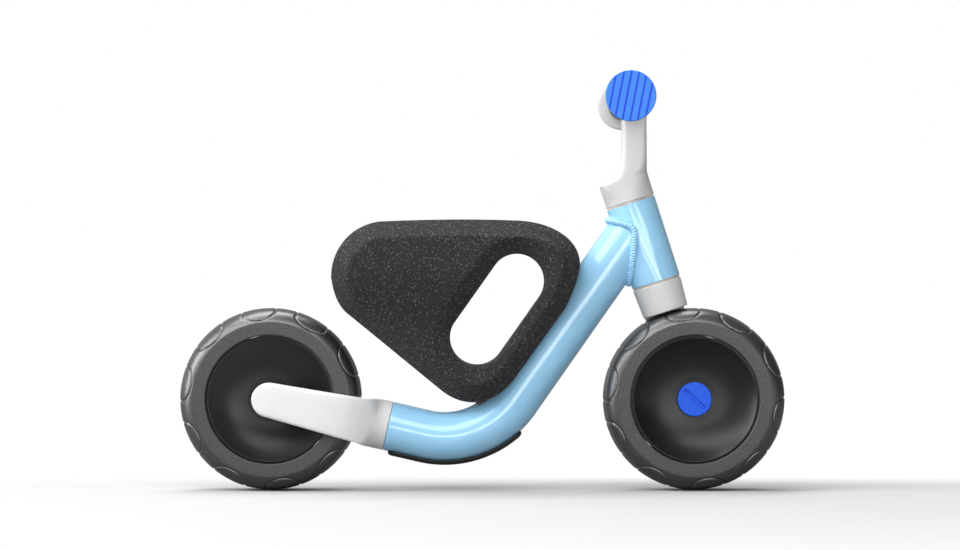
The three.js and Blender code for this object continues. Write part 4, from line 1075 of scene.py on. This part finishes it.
class BIKE_OT_bar_ends(Operator):
    """Make the grips, their flanges and the grooved discs at the bar's ends"""

    bl_idname = "bike.bar_ends"
    bl_label = "Bar ends"

    def execute(self, context):
        disc = end_disc()
        along = np.array([math.sin(END_GROOVE_TILT), 0.0, math.cos(END_GROOVE_TILT)])
        near, far = FLANGE["start"], FLANGE["end"]
        rim, room = END_DISC["radius"], BAR_TUBE_ROOM
        flange = rounded([[room, near], [rim, near], [rim, far], [room, far]], 1.2)
        plug = solid_rod(9.1, -18.0, 0.5)
        for end, out in (("left", LEFT), ("right", -LEFT)):
            across = np.cross(out, along)
            centre = BAR_AXIS + out * END_DISC["start"]
            sheets = [
                place_disc(disc, centre, along, across, out),
                turned(plug, centre, out, 32, closed=False),
            ]
            cap = add_piece(
                f"bar_end_{end}", sheets, "bar_end", "steering", [f"bar_cap_{end}"],
                second="groove",
            )

            # Faces deep in the grooves take the darker blue of painted shade
            def groove_shade_faces(middle):
                place = middle - centre
                height = place @ out
                deep = groove_relief(place @ along, place @ across) > 0.2
                return deep & (height < END_DISC["thickness"] - 0.3) & (height > 2.0)

            second_finish(cap.data, groove_shade_faces)
            ring = turned(flange, BAR_AXIS, out, 128)
            add_piece(
                f"bar_flange_{end}", [ring], "plastic", "steering", [f"grip_flange_{end}"]
            )
            sleeve = turned(grip_section(), BAR_AXIS, out, 64)
            add_piece(f"grip_sleeve_{end}", [sleeve], "rubber", "steering", [f"grip_{end}"])
        return {"FINISHED"}


# ---------------------------------------------------------------------- seat
def bezier(points, count):
    """Points of a Bezier curve of any degree, without its last one."""
    points = np.asarray(points, dtype=float)
    t = np.linspace(0, 1, count, endpoint=False)[:, None]
    degree = len(points) - 1
    return sum(
        math.comb(degree, i) * (1 - t) ** (degree - i) * t**i * points[i]
        for i in range(degree + 1)
    )


def seat_outline(count):
    """The seat's side outline in (x, z), evenly spaced: a rounded triangle on the tube. Each
    curve's control points are followed by its number of steps and end where the next starts."""
    curves = [
        ([(-144.3, 205), (-144.3, 231), (-126, 254.5)], 60),
        ([(-97.6, 257.9), (-21.4, 261.2)], 60),
        ([(35.8, 258.6), (64, 257), (92, 243)], 60),
        ([(93, 218), (91.5, 199)], 40),
        ([(78.7, 174.4)], 40),
        ([(32, 109.6), (14, 84.5), (-14, 75.5)], 60),
        ([(-40.4, 97.3)], 60),
        ([(-129.9, 170.6), (-141.5, 181)], 30),
    ]
    starts = [points[0] for points, _ in curves]
    ends = starts[1:] + starts[:1]
    pieces = [bezier([*points, end], steps) for (points, steps), end in zip(curves, ends)]
    return evenly_spaced(np.concatenate(pieces), count)[0]


def hole_side(points):
    """Nearest place on the hole's middle line, and its share from lower to upper end."""
    line = HOLE_UPPER - HOLE_LOWER
    share = np.clip(((points - HOLE_LOWER) @ line) / (line @ line), 0, 1)
    return HOLE_LOWER + share[..., None] * line, share


def distance_to(points, polygon):
    """Distance from each point to a closed polygon's nearest edge, a few edges at a time."""
    edges = np.roll(polygon, -1, axis=0) - polygon
    best = np.full(points.shape[0], np.inf)
    for chunk in range(0, len(polygon), 16):
        start, edge = polygon[chunk : chunk + 16], edges[chunk : chunk + 16]
        rel = points[:, None] - start
        t = np.clip((rel * edge).sum(-1) / (edge * edge).sum(-1), 0, 1)
        gap = np.linalg.norm(rel - t[..., None] * edge, axis=-1).min(axis=1)
        best = np.minimum(best, gap)
    return best


def seat_half_width(place, rim, hole, bevel):
    """Half the seat's width at a place: wide above and narrow by the tube, less a bevel near
    the rim, less a hollow round the handle hole that is deepest at the hole's upper end and
    ends in a small lip."""
    half = 46 + 16 * smoothstep(150, 216, place[:, 1])
    drop = 12.5 * np.clip(1 - rim / bevel, 0, 1) ** 1.04
    _, share = hole_side(place)
    line = unit(HOLE_UPPER - HOLE_LOWER)
    behind = (place - (HOLE_UPPER + HOLE_LOWER) / 2) @ np.array([-line[1], line[0]])
    depth = 5.0 + 6.5 * smoothstep(-0.1, 0.55, share)
    depth = depth * (0.75 + 0.25 * smoothstep(-30, 20, behind))
    hollow = depth * np.clip(1 - hole / 15.5, 0, 1) ** 0.95
    lip = 3.2 * np.clip(1 - hole / 3.2, 0, 1) ** 2
    return half - drop - hollow - lip


def out_of_tube(points, gap):
    """Moves points out of the frame tube grown by a gap, square to its centre line in the
    side view: the cheeks then straddle the tube."""
    flat = points[:, [0, 2]]
    bend = BEND_CENTRE[[0, 2]]
    angle = np.arctan2(flat[:, 0] - bend[0], bend[1] - flat[:, 1])
    angle = np.clip(angle, -STUB_INCLINE, DOWN_ANGLE)
    best = bend + BEND_RADIUS * np.stack([np.sin(angle), -np.cos(angle)], axis=1)
    best_gap = np.linalg.norm(flat - best, axis=1)
    far = 400
    straights = ((BEND_END, DOWN_RUN, 0, far), (BEND_START, STUB_RUN, -far, 0))
    for start, run, low, high in straights:
        start, run = start[[0, 2]], run[[0, 2]]
        near = start + np.clip((flat - start) @ run, low, high)[:, None] * run
        near_gap = np.linalg.norm(flat - near, axis=1)
        best = np.where((near_gap < best_gap)[:, None], near, best)
        best_gap = np.minimum(best_gap, near_gap)
    room = (TUBE_RADIUS + gap) ** 2 - points[:, 1] ** 2
    need = np.sqrt(np.maximum(room, 0))
    push = np.where((room > 0) & (best_gap < need), need / np.maximum(best_gap, 1e-3), 1.0)
    moved = points.copy()
    moved[:, [0, 2]] = best + (flat - best) * push[:, None]
    return moved


def seat_sheet(bevel):
    """The seat as a ring-shaped grid. Each column starts on the outline, crosses the near side
    to the handle hole, goes through the hole, and returns over the far side and round the rim.
    Half the width at each place comes from its distances to the rim and to the hole."""
    columns, across = 400, 84
    outline = seat_outline(columns)
    middle, _ = hole_side(outline)
    hole = middle + unit(outline - middle) * HOLE_RADIUS
    s = np.linspace(0, 1, across)
    s = (0.45 * s + 0.55 * 0.5 * (1 - np.cos(math.pi * s)))[:, None, None]
    place = outline * (1 - s) + hole * s
    flat = place.reshape(-1, 2)
    to_middle, _ = hole_side(flat)
    from_hole = np.maximum(np.linalg.norm(flat - to_middle, axis=1) - HOLE_RADIUS, 0)
    half = seat_half_width(flat, distance_to(flat, outline), from_hole, bevel)
    half = half.reshape(across, columns)
    x, z = place[..., 0], place[..., 1]
    near = np.stack([x, -half, z], axis=-1)
    far = np.stack([x, half, z], axis=-1)[::-1]

    def wall(row, count):
        """Across from the near side to the far side along one of the grid's rows."""
        y = np.linspace(-1, 1, count + 2)[1:-1, None] * half[row]
        return np.stack([x[row] + 0 * y, y, z[row] + 0 * y], axis=-1)

    points = np.concatenate([near, wall(-1, 26), far, wall(0, 46)[::-1]])
    return out_of_tube(points.reshape(-1, 3), 0.5).reshape(points.shape), True, True


class BIKE_OT_seat(Operator):
    """Make the moulded foam seat with its handle hole"""

    bl_idname = "bike.seat"
    bl_label = "Seat"

    def execute(self, context):
        sheet = seat_sheet(context.scene.bike_sizes.seat_bevel / MM)
        seat = add_piece("seat_foam", [sheet], "foam", "frame", ["seat"], sharp=0)
        soften = seat.modifiers.new("rounded edges", "SMOOTH")
        soften.factor = 0.5
        soften.iterations = 3
        return {"FINISHED"}


# --------------------------------------------------------------------- stage
WHITE = (1, 1, 1, 1)
FLOOR_REACH, FLOOR_DROP = 30.0, 0.0004  # metres; the tyres' lowest facets stay above it
GLOW_START, GLOW_FULL = 0.4, 1.3  # metres from the bike
PANEL_IMAGE_EDGE = -1.3  # y in metres, where the painted reflection of the front panel in the floor begins
CAMERA_PLACE, CAMERA_LENS = (-0.00231, -3.85, 0.2068), 149.7
# Name, place, width and height in metres, and radiance of each light
PANELS = (
    ("key panel", (-0.9, -1.75, 1.85), 4.6, 1.15, 3.6),
    ("front panel", (0.5, -4.3, 0.32), 3.4, 0.6, 4.4),
    ("front upper panel", (1.6, -4.2, 0.95), 1.7, 0.66, 4.2),
    ("top panel", (-0.4, 0.35, 2.3), 2.4, 0.8, 6.3),
    ("left strip", (-2.56, -0.5, 0.9), 0.7, 1.8, 8.0),
)


def studio_floor():
    """A pale matte floor that glows to white far from the bike for the camera alone. Glossy
    rays see, low in front, a painted reflection of the front panel: a patch of the floor
    that glows for them alone."""
    material, tree, shader, place = new_material(
        "pale studio floor", Roughness=0.9, Specular_IOR_Level=0.1
    )
    seen = add_node(tree, "LightPath")
    tone = add_node(tree, "MapRange", {"Value": seen, "To Min": 0.24, "To Max": 0.6})
    tree.links.new(tone.outputs["Result"], shader.inputs["Base Color"])
    behind = add_node(tree, "VectorMath", {0: place, 1: (1, 4.5, 1)}, operation="MULTIPLY")
    front = add_node(tree, "VectorMath", {0: place, 1: (1, -1, 1)}, operation="MULTIPLY")
    worse = add_node(tree, "VectorMath", {0: behind, 1: front}, operation="MAXIMUM")
    length = add_node(tree, "VectorMath", {0: worse}, operation="LENGTH").outputs["Value"]
    far = add_node(
        tree, "MapRange", {"Value": length, "From Min": GLOW_START, "From Max": GLOW_FULL},
        interpolation_type="SMOOTHSTEP",
    )
    shown = add_node(tree, "Math", {0: far, 1: seen}, operation="MULTIPLY")
    glow = add_node(tree, "Emission", {"Color": WHITE, "Strength": 1.02})
    fade = add_node(tree, "MixShader", {0: shown, 1: shader, 2: glow})
    # Painted reflection of the front panel: a patch low in front that glows for glossy rays alone
    depth = add_node(tree, "SeparateXYZ", {"Vector": place}).outputs["Y"]
    near, beyond = PANEL_IMAGE_EDGE + 0.05, PANEL_IMAGE_EDGE - 0.05
    ahead = add_node(tree, "MapRange", {"Value": depth, "From Min": near, "From Max": beyond})
    aside = add_node(tree, "VectorMath", {0: place, 1: (1, -0.29, 0)}, operation="DOT_PRODUCT")
    edge = {"Value": aside.outputs["Value"], "From Min": -0.03, "From Max": 0.03}
    right = add_node(tree, "MapRange", edge)
    panel = add_node(tree, "Math", {0: ahead, 1: right}, operation="MULTIPLY")
    glossy = seen.outputs["Is Glossy Ray"]
    mirrored = add_node(tree, "Math", {0: panel, 1: glossy}, operation="MULTIPLY")
    image = add_node(tree, "Emission", {"Color": WHITE, "Strength": 3.6})
    whole = add_node(tree, "MixShader", {0: mirrored, 1: fade, 2: image})
    tree.links.new(whole.outputs["Shader"], tree.nodes["Material Output"].inputs["Surface"])
    return material


def studio_world():
    """A room that is brighter behind the bike's rear wheel, and plain white to the camera."""
    world = bpy.data.worlds.new("studio")
    world.use_nodes = True
    tree = world.node_tree
    tree.nodes.clear()
    seen = add_node(tree, "LightPath")
    direction = add_node(tree, "TexCoord").outputs["Generated"]
    x = add_node(tree, "SeparateXYZ", {"Vector": direction})
    span = {"Value": x, "From Min": -0.8, "From Max": 0.8, "To Min": 0.75, "To Max": 0.1}
    room = add_node(
        tree, "Background", {"Color": WHITE, "Strength": add_node(tree, "MapRange", span)}
    )
    white = add_node(tree, "Background", {"Color": WHITE, "Strength": 1.0})
    mix = add_node(tree, "MixShader", {0: seen, 1: room, 2: white})
    add_node(tree, "OutputWorld", {"Surface": mix})
    return world


def area_light(name, place, width, height, radiance):
    """A soft panel of even radiance that faces the bike: power = radiance * pi * area."""
    light = bpy.data.lights.new(name, "AREA")
    light.shape = "RECTANGLE"
    light.size, light.size_y = width, height
    light.energy = radiance * math.pi * width * height
    obj = bpy.data.objects.new(name, light)
    obj.location = place
    facing = Vector((0.0, 0.0, 0.2)) - Vector(place)
    obj.rotation_euler = facing.to_track_quat("-Z", "Y").to_euler()
    bpy.context.scene.collection.objects.link(obj)


class BIKE_OT_stage(Operator):
    """Make the pale floor, the soft lights and the camera"""

    bl_idname = "bike.stage"
    bl_label = "Stage and camera"

    def execute(self, context):
        scene = context.scene
        scene.view_settings.view_transform = "Standard"
        floor = bpy.data.meshes.new("floor")
        square = np.array([[-1, -1], [1, -1], [1, 1], [-1, 1]]) * FLOOR_REACH
        floor.from_pydata([(x, y, -FLOOR_DROP) for x, y in square], [], [range(4)])
        floor.materials.append(studio_floor())
        obj = bpy.data.objects.new("floor", floor)
        scene.collection.objects.link(obj)
        scene.world = studio_world()

        for panel in PANELS:
            area_light(*panel)

        data = bpy.data.cameras.new("camera")
        data.sensor_width = 36.0
        data.lens = CAMERA_LENS
        data.clip_start, data.clip_end = 0.1, 60.0
        camera = bpy.data.objects.new("camera", data)
        camera.location = CAMERA_PLACE
        camera.rotation_euler = (math.pi / 2, 0, 0)
        scene.collection.objects.link(camera)
        scene.camera = camera
        return {"FINISHED"}


# --------------------------------------------------------------------- panel
OPERATORS = (
    BIKE_OT_stage,
    BIKE_OT_materials,
    BIKE_OT_tyres,
    BIKE_OT_hubs,
    BIKE_OT_axle_caps,
    BIKE_OT_frame_tubes,
    BIKE_OT_rear_arm,
    BIKE_OT_fork,
    BIKE_OT_stem,
    BIKE_OT_bar_ends,
    BIKE_OT_seat,
)


class BIKE_PT_pieces(Panel):
    """Sizes, colours and pieces of the bike"""

    bl_idname = "BIKE_PT_pieces"
    bl_label = "Balance Bike"
    bl_space_type = "VIEW_3D"
    bl_region_type = "UI"
    bl_category = "Bike"

    def draw(self, context):
        for group in (context.scene.bike_sizes, context.scene.bike_colours):
            box = self.layout.box()
            for name in group.__annotations__:
                box.prop(group, name)
        for operator in OPERATORS:
            self.layout.operator(operator.bl_idname)


CLASSES = (BikeSizes, BikeColours, *OPERATORS, BIKE_PT_pieces)


def register():
    for cls in CLASSES:
        bpy.utils.register_class(cls)
    bpy.types.Scene.bike_sizes = PointerProperty(type=BikeSizes)
    bpy.types.Scene.bike_colours = PointerProperty(type=BikeColours)


def unregister():
    del bpy.types.Scene.bike_colours
    del bpy.types.Scene.bike_sizes
    for cls in reversed(CLASSES):
        bpy.utils.unregister_class(cls)


def main():
    register()
    for operator in OPERATORS:
        group, name = operator.bl_idname.split(".")
        getattr(getattr(bpy.ops, group), name)()


if __name__ == "__main__":
    main()
